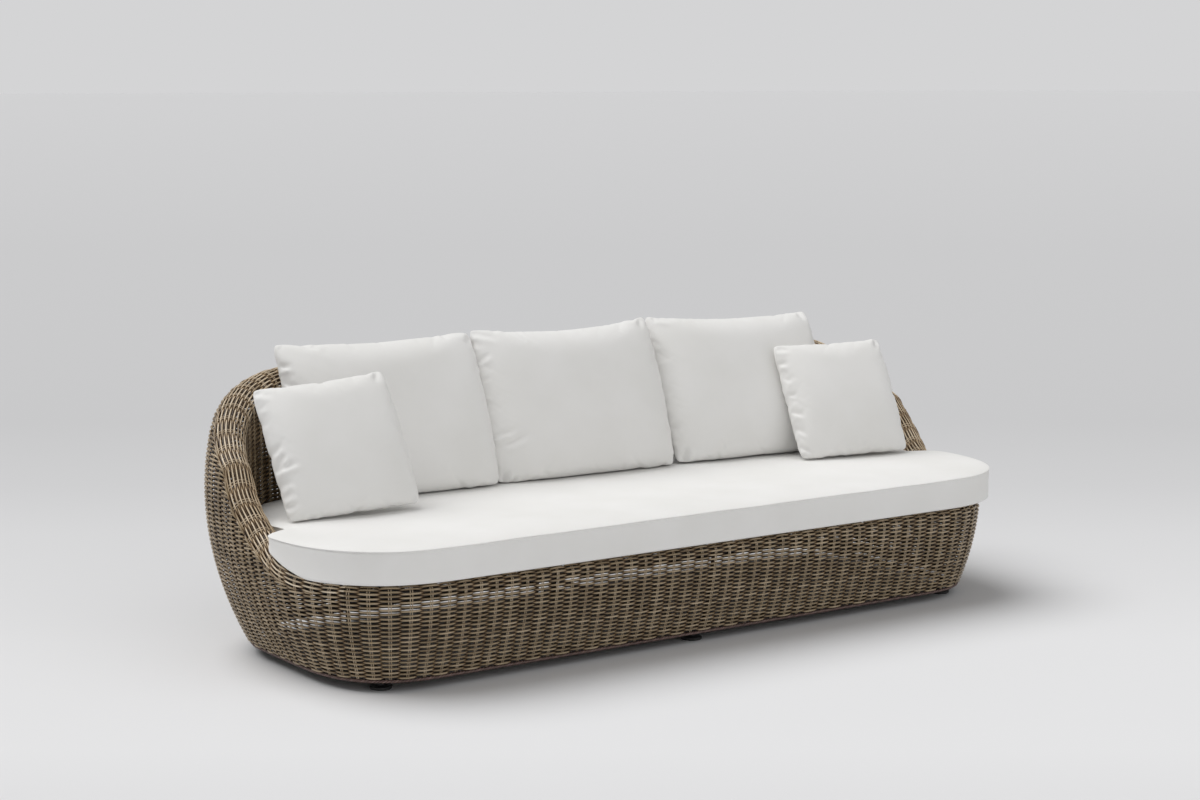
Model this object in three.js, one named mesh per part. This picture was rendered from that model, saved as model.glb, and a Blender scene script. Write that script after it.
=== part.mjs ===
// Woven garden sofa: a tube frame under a woven skin whose rim rolls over and rises into arms and back,
// with a boxed seat cushion, three back cushions and two throw pillows.
// Millimetres. +X runs along the sofa, +Y towards its back, +Z up, floor at Z = 0.
import * as THREE from "three";

// Outline of the woven wall where it meets the floor, half of it from the front centre to the back centre.
// Its length follows from the row of back cushions, and how far its ends lie beyond that row.
const BACK_CUSHIONS = 3;
const END_BEYOND_CUSHIONS = 185.5;
const FRONT_CORNER_ALONG = 308;
const FRONT_CORNER_DEEP = 376;
const FRONT_CORNER_POWER = 2.7;
const END_STRAIGHT = 225;
const REAR_CORNER_RADIUS = 320;

// Heights of the shell
const FOOT_CLEARANCE = 30;
const SEAT_HEIGHT = 328.5;
const BACK_HEIGHT = 865;

// How far the wall leans out, and the height at which it is widest
const FRONT_FLARE = 69;
const END_FLARE = 136;
const FRONT_WIDEST_HEIGHT = 380;
const END_WIDEST_HEIGHT = 510;

// Woven skin, the roll of its rim and the braid along its foot
const WEAVE = 8;
const ROLL_RADIUS = 57;
const BRAID_RADIUS = 6;
const BRAID_PROUD = 2;

// Frame tubes and fits
const TUBE_RADIUS = 10.5;
const RIB_RADIUS = 7;
const RIB_FIT = 0.7;
const GAP = 0.3;
const GLIDE_RADIUS = 34;
const GLIDE_PAD = 9;
const GLIDE_CHAMFER = 3;
const GLIDE_NECK_RADIUS = 13;
const GLIDE_INSET = 40;
const RAIL_INSET = 140;
const CROSS_BAR_SPACING = 430;
const CROSS_BARS = 5;

// Seat cushion
const SEAT_OVERHANG = 100;
const SEAT_SIDE = 115;
const SEAT_CROWN = 11;
const SEAT_DRAW = 5;
const SEAT_ROUNDING = 20;
const SOFT_GAP = 4;
const SEAT_EDGE_STEP = 1.5;
const SEAT_SHOULDER = 28;
const SEAT_SHOULDER_DROP = 5;
const SEAT_CROWN_REACH = 110;

// Back cushions
const BACK_WIDTH = 705;
const BACK_TALL = 535;
const BACK_THICKNESS = 180;
const BACK_DRAW = 16;

// Throw pillows
const PILLOW_SIDE = 440;
const PILLOW_THICKNESS = 150;
const PILLOW_DRAW = 14;

// Where the loose cushions stand: how far apart and off the middle, how far in from the ends, and how far the
// middle of their foot is in front of the back lining, or the pillows' in front of the back cushions'
const BACK_APART = 10;
const BACK_SHIFT = -3;
const BACK_STAND = 253;
const PILLOW_INSET = 255;
const PILLOW_BEFORE = 237;

// Shares of those sizes for each loose cushion, with its turns in degrees
const BACK_PLACE_SHARES = [
  { name: "back_cushion_left", along: -1, stand: 0.976, yaw: -3.4, lean: 23.6, tilt: 0 },
  { name: "back_cushion_center", along: 0, stand: 1.04, yaw: -2.5, lean: 21.1, tilt: 0 },
  { name: "back_cushion_right", along: 1, stand: 1.1, yaw: -2.6, lean: 24.4, tilt: 0 },
];
const PILLOW_PLACE_SHARES = [
  { name: "throw_pillow_left", side: -1, inset: 0.965, stand: 0.947, yaw: -6.2, lean: 28.4, tilt: 4.7 },
  { name: "throw_pillow_right", side: 1, inset: 1.07, stand: 1.02, yaw: -10.6, lean: 29.5, tilt: 0.9 },
];

// The rim and wall along half the outline. A station is a run of the outline plus a share of it: 0 to 1
// front, 1 to 2 front corner, 2 to 3 end, 3 to 4 rear corner, 4 to 5 back. The shares are of the climb from
// the seat height to the back height, of the growth of the roll from the wrapped seat ring to its full
// radius, and of the steps in widest height and flare from front to end.
const RIM_SHARES = [
  { at: 0, climb: 0, roll: 0, widest: 0, flare: 0 },
  { at: 1, climb: 0, roll: 0, widest: 0, flare: 0 },
  { at: 1.5, climb: 0, roll: 0, widest: 0.03, flare: 0.02 },
  { at: 1.62, climb: 0, roll: 0, widest: 0.14, flare: 0.12 },
  { at: 1.76, climb: 0.035, roll: 0.16, widest: 0.32, flare: 0.29 },
  { at: 1.92, climb: 0.105, roll: 0.55, widest: 0.52, flare: 0.49 },
  { at: 2, climb: 0.147, roll: 0.69, widest: 0.61, flare: 0.59 },
  { at: 2.3, climb: 0.235, roll: 0.97, widest: 0.85, flare: 0.85 },
  { at: 2.65, climb: 0.375, roll: 1, widest: 1, flare: 1 },
  { at: 3, climb: 0.56, roll: 1, widest: 1, flare: 0.9 },
  { at: 3.2, climb: 0.715, roll: 1, widest: 1, flare: 0.88 },
  { at: 3.4, climb: 0.85, roll: 1, widest: 1, flare: 0.87 },
  { at: 3.6, climb: 0.935, roll: 1, widest: 1, flare: 0.87 },
  { at: 3.8, climb: 0.985, roll: 1, widest: 1, flare: 0.87 },
  { at: 4, climb: 1, roll: 1, widest: 1, flare: 0.87 },
  { at: 5, climb: 1, roll: 1, widest: 1, flare: 0.87 },
];
// Stations at which every lofted piece has a section, so that neighbours have matching facets
const SECTION_SHARES = [
  0, 1, 1.12, 1.25, 1.38, 1.5, 1.62, 1.75, 1.88, 1.94,
  2, 2.04, 2.08, 2.12, 2.16, 2.24, 2.35, 2.5, 2.65, 2.8, 2.9,
  3, 3.1, 3.2, 3.3, 3.4, 3.5, 3.625, 3.75, 3.875, 4, 5,
];
const HALF_SHARE = 5;
const WALL_LEVELS = 7;
const FRONT_PANEL_SHARE = 1.5;
const BACK_PANEL_SHARE = 3.5;
const RING_LEAVES_ROLL_SHARE = 1.62;
const RING_INSIDE_SHARE = 2;
const FULL_TURN_SHARE = 0.45;
const CUSHION_LEAVES_RIM_SHARE = 1.92;
const CUSHION_INSIDE_RIM_SHARE = 2.15;
const FRONT_RIB_SHARES = [0, 0.7, 1.5];
const ARM_RIB_SHARES = [2.5, 3.5, 4.4, 5];

const END_X = (BACK_CUSHIONS * (BACK_WIDTH + BACK_APART)) / 2 + END_BEYOND_CUSHIONS;
const FOOT_DEPTH = FRONT_CORNER_DEEP + END_STRAIGHT + REAR_CORNER_RADIUS;
const ROLL_FACETS = 6;
const ROLL_FACET = Math.cos(Math.PI / 2 / ROLL_FACETS);
const FRONT_ROLL_RADIUS = (TUBE_RADIUS + GAP) / ROLL_FACET + WEAVE;
const DECK = WEAVE;
const RING_LEVEL = SEAT_HEIGHT - FRONT_ROLL_RADIUS;
const WALL_BOTTOM = FOOT_CLEARANCE + 2 * BRAID_RADIUS + GAP;
const FOOT_RING_LEVEL = WALL_BOTTOM + TUBE_RADIUS;
const SEAT_BOTTOM = SEAT_HEIGHT + GAP;
const SEAT_SEAM = SEAT_BOTTOM + SEAT_SIDE;
const SEAT_TOP = SEAT_SEAM + SEAT_CROWN;

// A monotone cubic through the rows of a table: no overshoot between two stations.
function throughStations(rows, key) {
  const x = rows.map((row) => row.at);
  const y = rows.map((row) => row[key]);
  const slope = x.slice(1).map((v, i) => (y[i + 1] - y[i]) / (v - x[i]));
  const tangent = y.map((_, i) => {
    if (i === 0 || i === y.length - 1 || slope[i - 1] * slope[i] <= 0) return 0;
    const before = x[i] - x[i - 1];
    const after = x[i + 1] - x[i];
    const a = 2 * after + before;
    const b = after + 2 * before;
    return (a + b) / (a / slope[i - 1] + b / slope[i]);
  });
  return (at) => {
    let i = 0;
    while (i < x.length - 2 && at > x[i + 1]) i += 1;
    const h = x[i + 1] - x[i];
    const t = (at - x[i]) / h;
    const held = (1 + 2 * t) * (1 - t) ** 2 * y[i] + t * t * (3 - 2 * t) * y[i + 1];
    return held + h * (t * (1 - t) ** 2 * tangent[i] + t * t * (t - 1) * tangent[i + 1]);
  };
}

const climbShare = throughStations(RIM_SHARES, "climb");
const rollShare = throughStations(RIM_SHARES, "roll");
const widestShare = throughStations(RIM_SHARES, "widest");
const flareShare = throughStations(RIM_SHARES, "flare");

// The five runs of the half outline as dense points, evenly spaced along each run.
function outlineRuns() {
  const frontX = END_X - FRONT_CORNER_ALONG;
  const cornerY = FRONT_CORNER_DEEP;
  const sideEndY = FRONT_CORNER_DEEP + END_STRAIGHT;
  const rearX = END_X - REAR_CORNER_RADIUS;
  const steps = 2000;
  const shares = Array.from({ length: steps + 1 }, (_, i) => i / steps);
  const quarter = (share) => (share * Math.PI) / 2;
  const power = (v) => Math.max(0, v) ** (2 / FRONT_CORNER_POWER);
  const runs = [
    [new THREE.Vector2(0, 0), new THREE.Vector2(frontX, 0)],
    shares.map((s) => new THREE.Vector2(
      frontX + FRONT_CORNER_ALONG * power(Math.sin(quarter(s))),
      cornerY * (1 - power(Math.cos(quarter(s)))),
    )),
    [new THREE.Vector2(END_X, cornerY), new THREE.Vector2(END_X, sideEndY)],
    shares.map((s) => new THREE.Vector2(
      rearX + REAR_CORNER_RADIUS * Math.cos(quarter(s)),
      sideEndY + REAR_CORNER_RADIUS * Math.sin(quarter(s)),
    )),
    [new THREE.Vector2(rearX, FOOT_DEPTH), new THREE.Vector2(0, FOOT_DEPTH)],
  ];
  return runs.map((points) => {
    const along = [0];
    points.slice(1).forEach((p, i) => along.push(along[i] + p.distanceTo(points[i])));
    return { points, along, length: along[along.length - 1] };
  });
}

const RUNS = outlineRuns();

// Point on the half outline at a station, with the run's direction there.
function onRun(at) {
  const index = Math.min(Math.floor(at), HALF_SHARE - 1);
  const run = RUNS[index];
  const goal = (at - index) * run.length;
  let low = 0;
  let high = run.along.length - 1;
  while (high - low > 1) {
    const middle = (low + high) >> 1;
    if (run.along[middle] <= goal) low = middle;
    else high = middle;
  }
  const share = (goal - run.along[low]) / (run.along[high] - run.along[low]);
  const point = run.points[low].clone().lerp(run.points[high], share);
  return { point, direction: run.points[high].clone().sub(run.points[low]).normalize() };
}

// The whole loop runs from 0 at the front centre, by the right end, to 10: the left half mirrors the right.
// A section holds its point, its outward normal and the station of the half outline that it mirrors.
function section(loop) {
  const s = ((loop % (2 * HALF_SHARE)) + 2 * HALF_SHARE) % (2 * HALF_SHARE);
  const station = s <= HALF_SHARE ? s : 2 * HALF_SHARE - s;
  const side = s <= HALF_SHARE ? 1 : -1;
  const { point, direction } = onRun(station);
  const normal = new THREE.Vector2(side * direction.y, -direction.x);
  const along = new THREE.Vector2(direction.x, side * direction.y);
  return { station, origin: new THREE.Vector2(side * point.x, point.y), normal, along };
}

// A point of a section's vertical plane: so far out from the outline, so high, and moved along the outline.
function place(cut, [out, height], shift = 0) {
  return new THREE.Vector3(
    cut.origin.x + cut.normal.x * out + cut.along.x * shift,
    cut.origin.y + cut.normal.y * out + cut.along.y * shift,
    height,
  );
}

// How far the outer face stands out from the foot outline at a height: a parabola, widest at the belly.
function wallOut(station, height) {
  const widest = THREE.MathUtils.lerp(FRONT_WIDEST_HEIGHT, END_WIDEST_HEIGHT, widestShare(station));
  const flare = THREE.MathUtils.lerp(FRONT_FLARE, END_FLARE, flareShare(station));
  const reach = widest - FOOT_CLEARANCE;
  return flare * (1 - ((height - widest) / reach) ** 2);
}

// The roll at a station: its centre, its radius, and the angle at which the wall runs into it.
function rollAt(station) {
  const top = THREE.MathUtils.lerp(SEAT_HEIGHT, BACK_HEIGHT, climbShare(station));
  const radius = THREE.MathUtils.lerp(FRONT_ROLL_RADIUS, ROLL_RADIUS, rollShare(station));
  const step = GAP;
  let meet = top - radius;
  let angle = 0;
  for (let i = 0; i < 8; i += 1) {
    const lean = (wallOut(station, meet - step) - wallOut(station, meet + step)) / (2 * step);
    angle = Math.atan(lean);
    meet = top - radius + radius * Math.sin(angle);
  }
  const out = wallOut(station, meet) - radius * Math.cos(angle);
  return { out, level: top - radius, radius, angle, meet, top };
}

function onCircle(out, level, radius, angle) {
  return [out + radius * Math.cos(angle), level + radius * Math.sin(angle)];
}

// Shares from 0 to 1 in even steps
function evenly(count) {
  return Array.from({ length: count + 1 }, (_, i) => i / count);
}

// Stations of the loop from one place to another, both ends included.
function loopSections(from, to) {
  const mirrored = SECTION_SHARES.map((at) => 2 * HALF_SHARE - at);
  const loop = [...SECTION_SHARES, ...mirrored];
  const all = [...loop.map((at) => at - 2 * HALF_SHARE), ...loop, ...loop.map((at) => at + 2 * HALF_SHARE)];
  const inside = [...new Set(all)].filter((at) => at > from && at < to);
  return [from, ...inside.sort((a, b) => a - b), to];
}

// Turns every face of a closed geometry outwards.
function facingOut(geometry) {
  const p = geometry.getAttribute("position");
  const index = geometry.index.array;
  const corner = (i) => new THREE.Vector3().fromBufferAttribute(p, index[i]);
  let volume = 0;
  for (let i = 0; i < index.length; i += 3) {
    volume += corner(i).dot(corner(i + 1).cross(corner(i + 2)));
  }
  if (volume < 0) {
    for (let i = 0; i < index.length; i += 3) {
      [index[i + 1], index[i + 2]] = [index[i + 2], index[i + 1]];
    }
  }
  geometry.computeVertexNormals();
  return geometry;
}

// Joins rings of equally many points into a closed skin, each quad split along its shorter diagonal. The
// caps are flat outlines of the first and last ring.
function loft(rings, caps) {
  const count = rings[0].length;
  const corners = rings.flat();
  const positions = corners.flatMap((v) => [v.x, v.y, v.z]);
  const index = [];
  const joins = caps ? rings.length - 1 : rings.length;
  for (let r = 0; r < joins; r += 1) {
    const next = (r + 1) % rings.length;
    for (let i = 0; i < count; i += 1) {
      const j = (i + 1) % count;
      const [a, b, c, d] = [r * count + i, r * count + j, next * count + j, next * count + i];
      const shorter = corners[a].distanceTo(corners[c]) <= corners[b].distanceTo(corners[d]);
      index.push(...(shorter ? [a, b, c, a, c, d] : [a, b, d, b, c, d]));
    }
  }
  if (caps) {
    const turn = THREE.ShapeUtils.isClockWise(caps[0]) ? -1 : 1;
    const last = (rings.length - 1) * count;
    for (const [a, b, c] of THREE.ShapeUtils.triangulateShape(caps[0], [])) {
      index.push(...(turn > 0 ? [a, c, b] : [a, b, c]));
    }
    for (const [a, b, c] of THREE.ShapeUtils.triangulateShape(caps[1], [])) {
      index.push(...(turn > 0 ? [a, b, c] : [a, c, b]).map((v) => last + v));
    }
  }
  const geometry = new THREE.BufferGeometry();
  geometry.setAttribute("position", new THREE.Float32BufferAttribute(positions, 3));
  geometry.setIndex(index);
  return geometry;
}

// A strip of the shell from one place of the loop to another, or all round it. The profile gives each
// section's outline as pairs of distance out and height.
function shellStrip(profile, from = 0, to = 2 * HALF_SHARE) {
  const whole = to - from === 2 * HALF_SHARE;
  const stops = loopSections(from, to);
  if (whole) stops.pop();
  const cuts = stops.map((loop) => section(loop));
  const outlines = cuts.map((cut) => profile(cut.station));
  const rings = outlines.map((outline, i) => {
    let shift = 0;
    if (!whole && i === 0) shift = GAP / 2;
    if (!whole && i === outlines.length - 1) shift = -GAP / 2;
    return outline.map((pair) => place(cuts[i], pair, shift));
  });
  if (whole) return facingOut(loft(rings, null));
  const flat = (outline) => outline.map(([out, height]) => new THREE.Vector2(out, height));
  return facingOut(loft(rings, [flat(outlines[0]), flat(outlines[outlines.length - 1])]));
}

// Section of the outer wall: from the braid up to the line where the roll begins.
function wallProfile(station) {
  const roll = rollAt(station);
  const outer = evenly(WALL_LEVELS).map((share) => {
    const height = THREE.MathUtils.lerp(WALL_BOTTOM, roll.meet - GAP, share);
    return [wallOut(station, height), height];
  });
  const inner = outer.slice(0, -1).map(([out, height]) => [out - WEAVE, height]);
  const [out, height] = onCircle(roll.out, roll.level, roll.radius - WEAVE, roll.angle);
  return [...outer, [out, height - GAP], ...inner.reverse()];
}

// Angle at which the rim ends inside: just over the seat ring in front, at the roll's centre line elsewhere
function rimEnd(station) {
  const share = Math.min(1, rollShare(station) / FULL_TURN_SHARE);
  return THREE.MathUtils.lerp((2 * Math.PI) / 3, Math.PI, share);
}

// Section of the rolled rim: from the wall over the crown and down inside.
function rimProfile(station) {
  const { out, level, radius, angle } = rollAt(station);
  const turn = evenly(ROLL_FACETS).map((share) => THREE.MathUtils.lerp(angle, rimEnd(station), share));
  const outer = turn.map((a) => onCircle(out, level, radius, a));
  const inner = turn.map((a) => onCircle(out, level, radius - WEAVE, a));
  return [...outer, ...inner.reverse()];
}

// The lining and the tube in the roll start where the roll's centre has risen above the seat
const liningStart = SECTION_SHARES.find((at) => rollAt(at).level > SEAT_HEIGHT + 2 * GAP);

// Section of the woven lining, which hangs from the inner side of the roll and stands on the deck.
function liningProfile(station) {
  const { out, level, radius } = rollAt(station);
  const face = out - radius;
  const heights = [SEAT_HEIGHT + GAP, level - GAP];
  return [
    [face, heights[0]],
    [face, heights[1]],
    [face + WEAVE, heights[1]],
    [face + WEAVE, heights[0]],
  ];
}

// Distance out of the seat ring: wrapped by the rim in front, then behind the foot of the lining.
function seatRingOut(station) {
  const { out, radius } = rollAt(station);
  const behindLining = out - radius + WEAVE + GAP + RIB_RADIUS;
  const share = THREE.MathUtils.smoothstep(station, RING_LEAVES_ROLL_SHARE, RING_INSIDE_SHARE);
  return THREE.MathUtils.lerp(out, behindLining, share);
}

// Distance out of a bar of some radius that lies against the inside of the leaning wall
function insideWall(station, height, radius) {
  const step = GAP;
  const lean = (wallOut(station, height + step) - wallOut(station, height - step)) / (2 * step);
  return wallOut(station, height) - WEAVE - (GAP + radius) * Math.hypot(1, lean);
}

function footRingOut(station) {
  return insideWall(station, FOOT_RING_LEVEL, TUBE_RADIUS);
}

// How deep the wall's flat facets cut inside its curve between two levels
function facetDip(station) {
  const step = (rollAt(station).meet - WALL_BOTTOM) / WALL_LEVELS / 2;
  const middle = END_WIDEST_HEIGHT;
  const chord = (wallOut(station, middle - step) + wallOut(station, middle + step)) / 2;
  return wallOut(station, middle) - chord;
}

// Radius inside the rolled rim that its facets leave free
function freeInRoll(roll) {
  return (roll.radius - WEAVE) * ROLL_FACET - GAP;
}

// How much the rim climbs over the half width of a rib
function climbOverRib(station) {
  const step = 0.01;
  const before = station - step;
  const after = Math.min(station + step, HALF_SHARE);
  const climb = (BACK_HEIGHT - SEAT_HEIGHT) * (climbShare(after) - climbShare(before));
  return (RIB_RADIUS * climb) / section(before).origin.distanceTo(section(after).origin);
}

// Centre of the tube under the crown of the roll
function crownTubeAt(station) {
  const roll = rollAt(station);
  return [roll.out, roll.level + freeInRoll(roll) - TUBE_RADIUS];
}

function circleProfile(centre, radius, sides = 8) {
  return (station) => {
    const [out, level] = centre(station);
    return evenly(sides).slice(1).map((share) => onCircle(out, level, radius, share * 2 * Math.PI));
  };
}

// A round bar through a list of points, ending square.
function roundBar(points, radius, steps, sides = 8) {
  const shape = new THREE.Shape(
    evenly(sides).slice(1).map((share) => {
      const angle = share * 2 * Math.PI;
      return new THREE.Vector2(radius * Math.cos(angle), radius * Math.sin(angle));
    }),
  );
  const path = points.length > 2
    ? new THREE.CatmullRomCurve3(points, false, "centripetal")
    : new THREE.LineCurve3(...points);
  return new THREE.ExtrudeGeometry(shape, { steps, extrudePath: path });
}

// Half the angle that the crown tube takes up, seen from the centre of the roll, with its clearance
function crownTubeHalfAngle(roll, station) {
  const half = TUBE_RADIUS + 2 * GAP + climbOverRib(station);
  return Math.asin(Math.min(1, half / (freeInRoll(roll) - TUBE_RADIUS)));
}

// Point of a rib that follows the inside of the roll
function ribOnRoll(roll, station, angle) {
  const reach = freeInRoll(roll) - RIB_RADIUS - climbOverRib(station) * Math.sin(angle);
  return onCircle(roll.out, roll.level, reach, angle);
}

// Outer rib: up the inside of the wall and, at the arms and back, over towards the crown tube.
function outerRib(loop, overRoll) {
  const cut = section(loop);
  const { station } = cut;
  const roll = rollAt(station);
  const start = FOOT_RING_LEVEL + TUBE_RADIUS + RIB_FIT;
  const end = overRoll ? roll.level : RING_LEVEL - TUBE_RADIUS - RIB_FIT;
  const dip = facetDip(station);
  const pairs = evenly(5).map((share) => {
    const height = THREE.MathUtils.lerp(start, end, share);
    return [insideWall(station, height, RIB_RADIUS) - dip, height];
  });
  if (overRoll) {
    const stop = Math.PI / 2 - crownTubeHalfAngle(roll, station);
    pairs.pop();
    for (const share of evenly(5)) {
      pairs.push(ribOnRoll(roll, station, THREE.MathUtils.lerp(0, stop, share)));
    }
  }
  return roundBar(pairs.map((pair) => place(cut, pair)), RIB_RADIUS, overRoll ? 14 : 5, 6);
}

// Inner rib: from the crown tube over the inner side of the roll and down behind the lining to the seat ring.
function innerRib(loop) {
  const cut = section(loop);
  const { station } = cut;
  const roll = rollAt(station);
  const start = Math.PI / 2 + crownTubeHalfAngle(roll, station);
  const pairs = evenly(5).map((share) => {
    return ribOnRoll(roll, station, THREE.MathUtils.lerp(start, Math.PI, share));
  });
  const foot = RING_LEVEL + TUBE_RADIUS + RIB_FIT;
  const [out, level] = pairs[pairs.length - 1];
  for (const share of evenly(3).slice(1)) {
    pairs.push([out, THREE.MathUtils.lerp(level, foot, share)]);
  }
  return roundBar(pairs.map((pair) => place(cut, pair)), RIB_RADIUS, 12, 6);
}

// Where a line across the sofa at a given X meets a faceted ring that runs at a distance out from the outline
function crossing(x, outAt, from, to) {
  const stops = SECTION_SHARES.filter((at) => at >= from && at <= to);
  const points = stops.map((at) => place(section(at), [outAt(at), 0]));
  const next = points.findIndex((p, i) => i > 0 && (points[i - 1].x - x) * (p.x - x) <= 0);
  const [before, after] = [points[next - 1], points[next]];
  return THREE.MathUtils.mapLinear(x, before.x, after.x, before.y, after.y);
}

// Bar across the sofa between the front and back runs of a ring, butting against its inner side.
function barAcross(x, ringOut, level) {
  const innerSide = (station) => ringOut(station) - TUBE_RADIUS - GAP;
  const outerEdge = Math.abs(x) + TUBE_RADIUS;
  const front = crossing(outerEdge, innerSide, 0, 2);
  const back = crossing(outerEdge, innerSide, 3, HALF_SHARE);
  const ends = [front, back];
  const geometry = roundBar(ends.map((y) => new THREE.Vector3(x, y, level)), TUBE_RADIUS, 1, 8);
  return { geometry, front, back };
}

// Deck: flat woven panel inside the front rim and under the foot of the lining.
function deckGeometry() {
  const outAt = (station) => {
    const { out, radius } = rollAt(station);
    const besideRim = out + radius * Math.cos(rimEnd(station)) - GAP;
    return station < RING_INSIDE_SHARE ? besideRim : out - radius + WEAVE;
  };
  const points = loopSections(0, 2 * HALF_SHARE).slice(0, -1).map((loop) => {
    const cut = section(loop);
    const p = place(cut, [outAt(cut.station), 0]);
    return new THREE.Vector2(p.x, p.y);
  });
  const geometry = new THREE.ExtrudeGeometry(new THREE.Shape(points), { depth: DECK, bevelEnabled: false });
  return geometry.translate(0, 0, SEAT_HEIGHT - DECK);
}

// Glide: chamfered pad on a neck that reaches the rail above it.
function glideGeometry() {
  const top = FOOT_RING_LEVEL - TUBE_RADIUS - GAP;
  const profile = [
    [0, 0],
    [GLIDE_RADIUS - GLIDE_CHAMFER, 0],
    [GLIDE_RADIUS, GLIDE_CHAMFER],
    [GLIDE_RADIUS, GLIDE_PAD],
    [GLIDE_NECK_RADIUS, GLIDE_PAD + GLIDE_CHAMFER],
    [GLIDE_NECK_RADIUS, top],
    [0, top],
  ];
  const geometry = new THREE.LatheGeometry(profile.map(([r, h]) => new THREE.Vector2(r, h)), 16);
  return geometry.rotateX(Math.PI / 2);
}

// How far the seat cushion reaches out: past the wall in front, inside the roll at the arms and back.
function seatReach(station) {
  const { out, radius } = rollAt(station);
  const inside = out - radius - SOFT_GAP;
  const share = THREE.MathUtils.smoothstep(station, CUSHION_LEAVES_RIM_SHARE, CUSHION_INSIDE_RIM_SHARE);
  return THREE.MathUtils.lerp(SEAT_OVERHANG, inside, share);
}

// Section of the seat cushion from its flat underside, over the roll where it lies on it, to its crown.
function seatProfile(station) {
  const roll = rollAt(station);
  const reach = seatReach(station);
  const clear = roll.radius + SOFT_GAP;
  const toCrown = THREE.MathUtils.clamp((reach - roll.out) / clear, -1, 0);
  const stop = Math.acos(toCrown);
  const under = evenly(3).map((share, i) => {
    const angle = THREE.MathUtils.lerp(Math.PI, stop, share);
    const [out, level] = onCircle(roll.out, roll.level, clear, angle);
    const lowest = SEAT_BOTTOM + (i + 1) * SEAT_EDGE_STEP;
    const highest = SEAT_SEAM - SEAT_ROUNDING + (i + 1) * SEAT_EDGE_STEP;
    return [out, THREE.MathUtils.clamp(level, lowest, highest)];
  });
  const low = under[under.length - 1][1];
  const rounding = Math.min(SEAT_ROUNDING, (SEAT_SEAM - low) / 2);
  return [
    [roll.out - clear - SEAT_CROWN_REACH / 2, SEAT_BOTTOM],
    [roll.out - clear, SEAT_BOTTOM],
    ...under,
    [reach, low + rounding],
    [reach - SEAT_DRAW, (low + rounding + SEAT_SEAM) / 2],
    [reach, SEAT_SEAM],
    [reach - SEAT_SHOULDER, SEAT_TOP - SEAT_SHOULDER_DROP],
    [reach - SEAT_CROWN_REACH, SEAT_TOP],
  ];
}

// Seat cushion: rings stacked from the underside to the crown, closed by two flat faces.
function seatCushionGeometry() {
  const cuts = loopSections(0, 2 * HALF_SHARE).slice(0, -1).map((loop) => section(loop));
  const outlines = cuts.map((cut) => seatProfile(cut.station));
  const levels = outlines[0].map((_, level) => cuts.map((cut, i) => place(cut, outlines[i][level])));
  const flat = (ring) => ring.map((v) => new THREE.Vector2(v.x, v.y));
  return facingOut(loft(levels, [flat(levels[0]), flat(levels[levels.length - 1])]));
}

// Knife-edged cushion standing on its lower seam: two crowned faces that meet in the seam, whose sides draw
// in between the corners. Its thickness is thick times ((1 - a^2)(1 - b^2))^0.42 over the unit square.
function knifeCushionGeometry(width, tall, thick, draw) {
  const steps = 13;
  const swell = 0.42;
  const ticks = evenly(steps).map((share) => Math.sin((share - 0.5) * Math.PI));
  const positions = [];
  const index = [];
  for (const face of [-1, 1]) {
    const base = positions.length / 3;
    for (const b of ticks) {
      for (const a of ticks) {
        const x = a * (width / 2 - draw * a * a * (1 - b * b));
        const z = tall / 2 + b * (tall / 2 - draw * b * b * (1 - a * a));
        const open = Math.max(0, (1 - a * a) * (1 - b * b));
        positions.push(x, (face * thick * open ** swell) / 2, z);
      }
    }
    for (let row = 0; row < steps; row += 1) {
      for (let column = 0; column < steps; column += 1) {
        const p = base + row * (steps + 1) + column;
        const q = p + steps + 1;
        const quad = [p, p + 1, q + 1, p, q + 1, q];
        index.push(...(face < 0 ? quad : [...quad].reverse()));
      }
    }
  }
  const geometry = new THREE.BufferGeometry();
  geometry.setAttribute("position", new THREE.Float32BufferAttribute(positions, 3));
  geometry.setIndex(index);
  return facingOut(geometry);
}

// How far a cushion can fall until the first of its points meets the seat below
function fallTo(seat, cushion) {
  const points = cushion.geometry.getAttribute("position");
  const down = new THREE.Vector3(0, 0, -1);
  const ray = new THREE.Raycaster();
  let least = Infinity;
  for (let i = 0; i < points.count; i += 1) {
    const start = new THREE.Vector3().fromBufferAttribute(points, i).applyMatrix4(cushion.matrixWorld);
    ray.set(start, down);
    for (const { distance } of ray.intersectObject(seat)) least = Math.min(least, distance);
  }
  return least;
}

const materials = {
  weave: new THREE.MeshStandardMaterial({ color: 0x8a7960, roughness: 0.62, metalness: 0 }),
  braid: new THREE.MeshStandardMaterial({ color: 0x6f5f50, roughness: 0.62, metalness: 0 }),
  frame: new THREE.MeshStandardMaterial({ color: 0x4a4038, roughness: 0.45, metalness: 0.6 }),
  glide: new THREE.MeshStandardMaterial({ color: 0x1c1c1c, roughness: 0.55, metalness: 0 }),
  cover: new THREE.MeshStandardMaterial({ color: 0xf1f0ee, roughness: 0.9, metalness: 0 }),
};

const sofa = new THREE.Group();

function add(name, geometry, material) {
  const mesh = new THREE.Mesh(geometry, material);
  mesh.name = name;
  sofa.add(mesh);
  return mesh;
}

// Frame: three rings, the ribs between them, bars under the deck, and rails that carry the glides.
const footRingAt = (at) => [footRingOut(at), FOOT_RING_LEVEL];
const seatRingAt = (at) => [seatRingOut(at), RING_LEVEL];
add("foot_ring", shellStrip(circleProfile(footRingAt, TUBE_RADIUS)), materials.frame);
add("seat_ring", shellStrip(circleProfile(seatRingAt, TUBE_RADIUS)), materials.frame);
add(
  "crown_tube",
  shellStrip(circleProfile(crownTubeAt, TUBE_RADIUS), liningStart, 2 * HALF_SHARE - liningStart),
  materials.frame,
);

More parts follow.
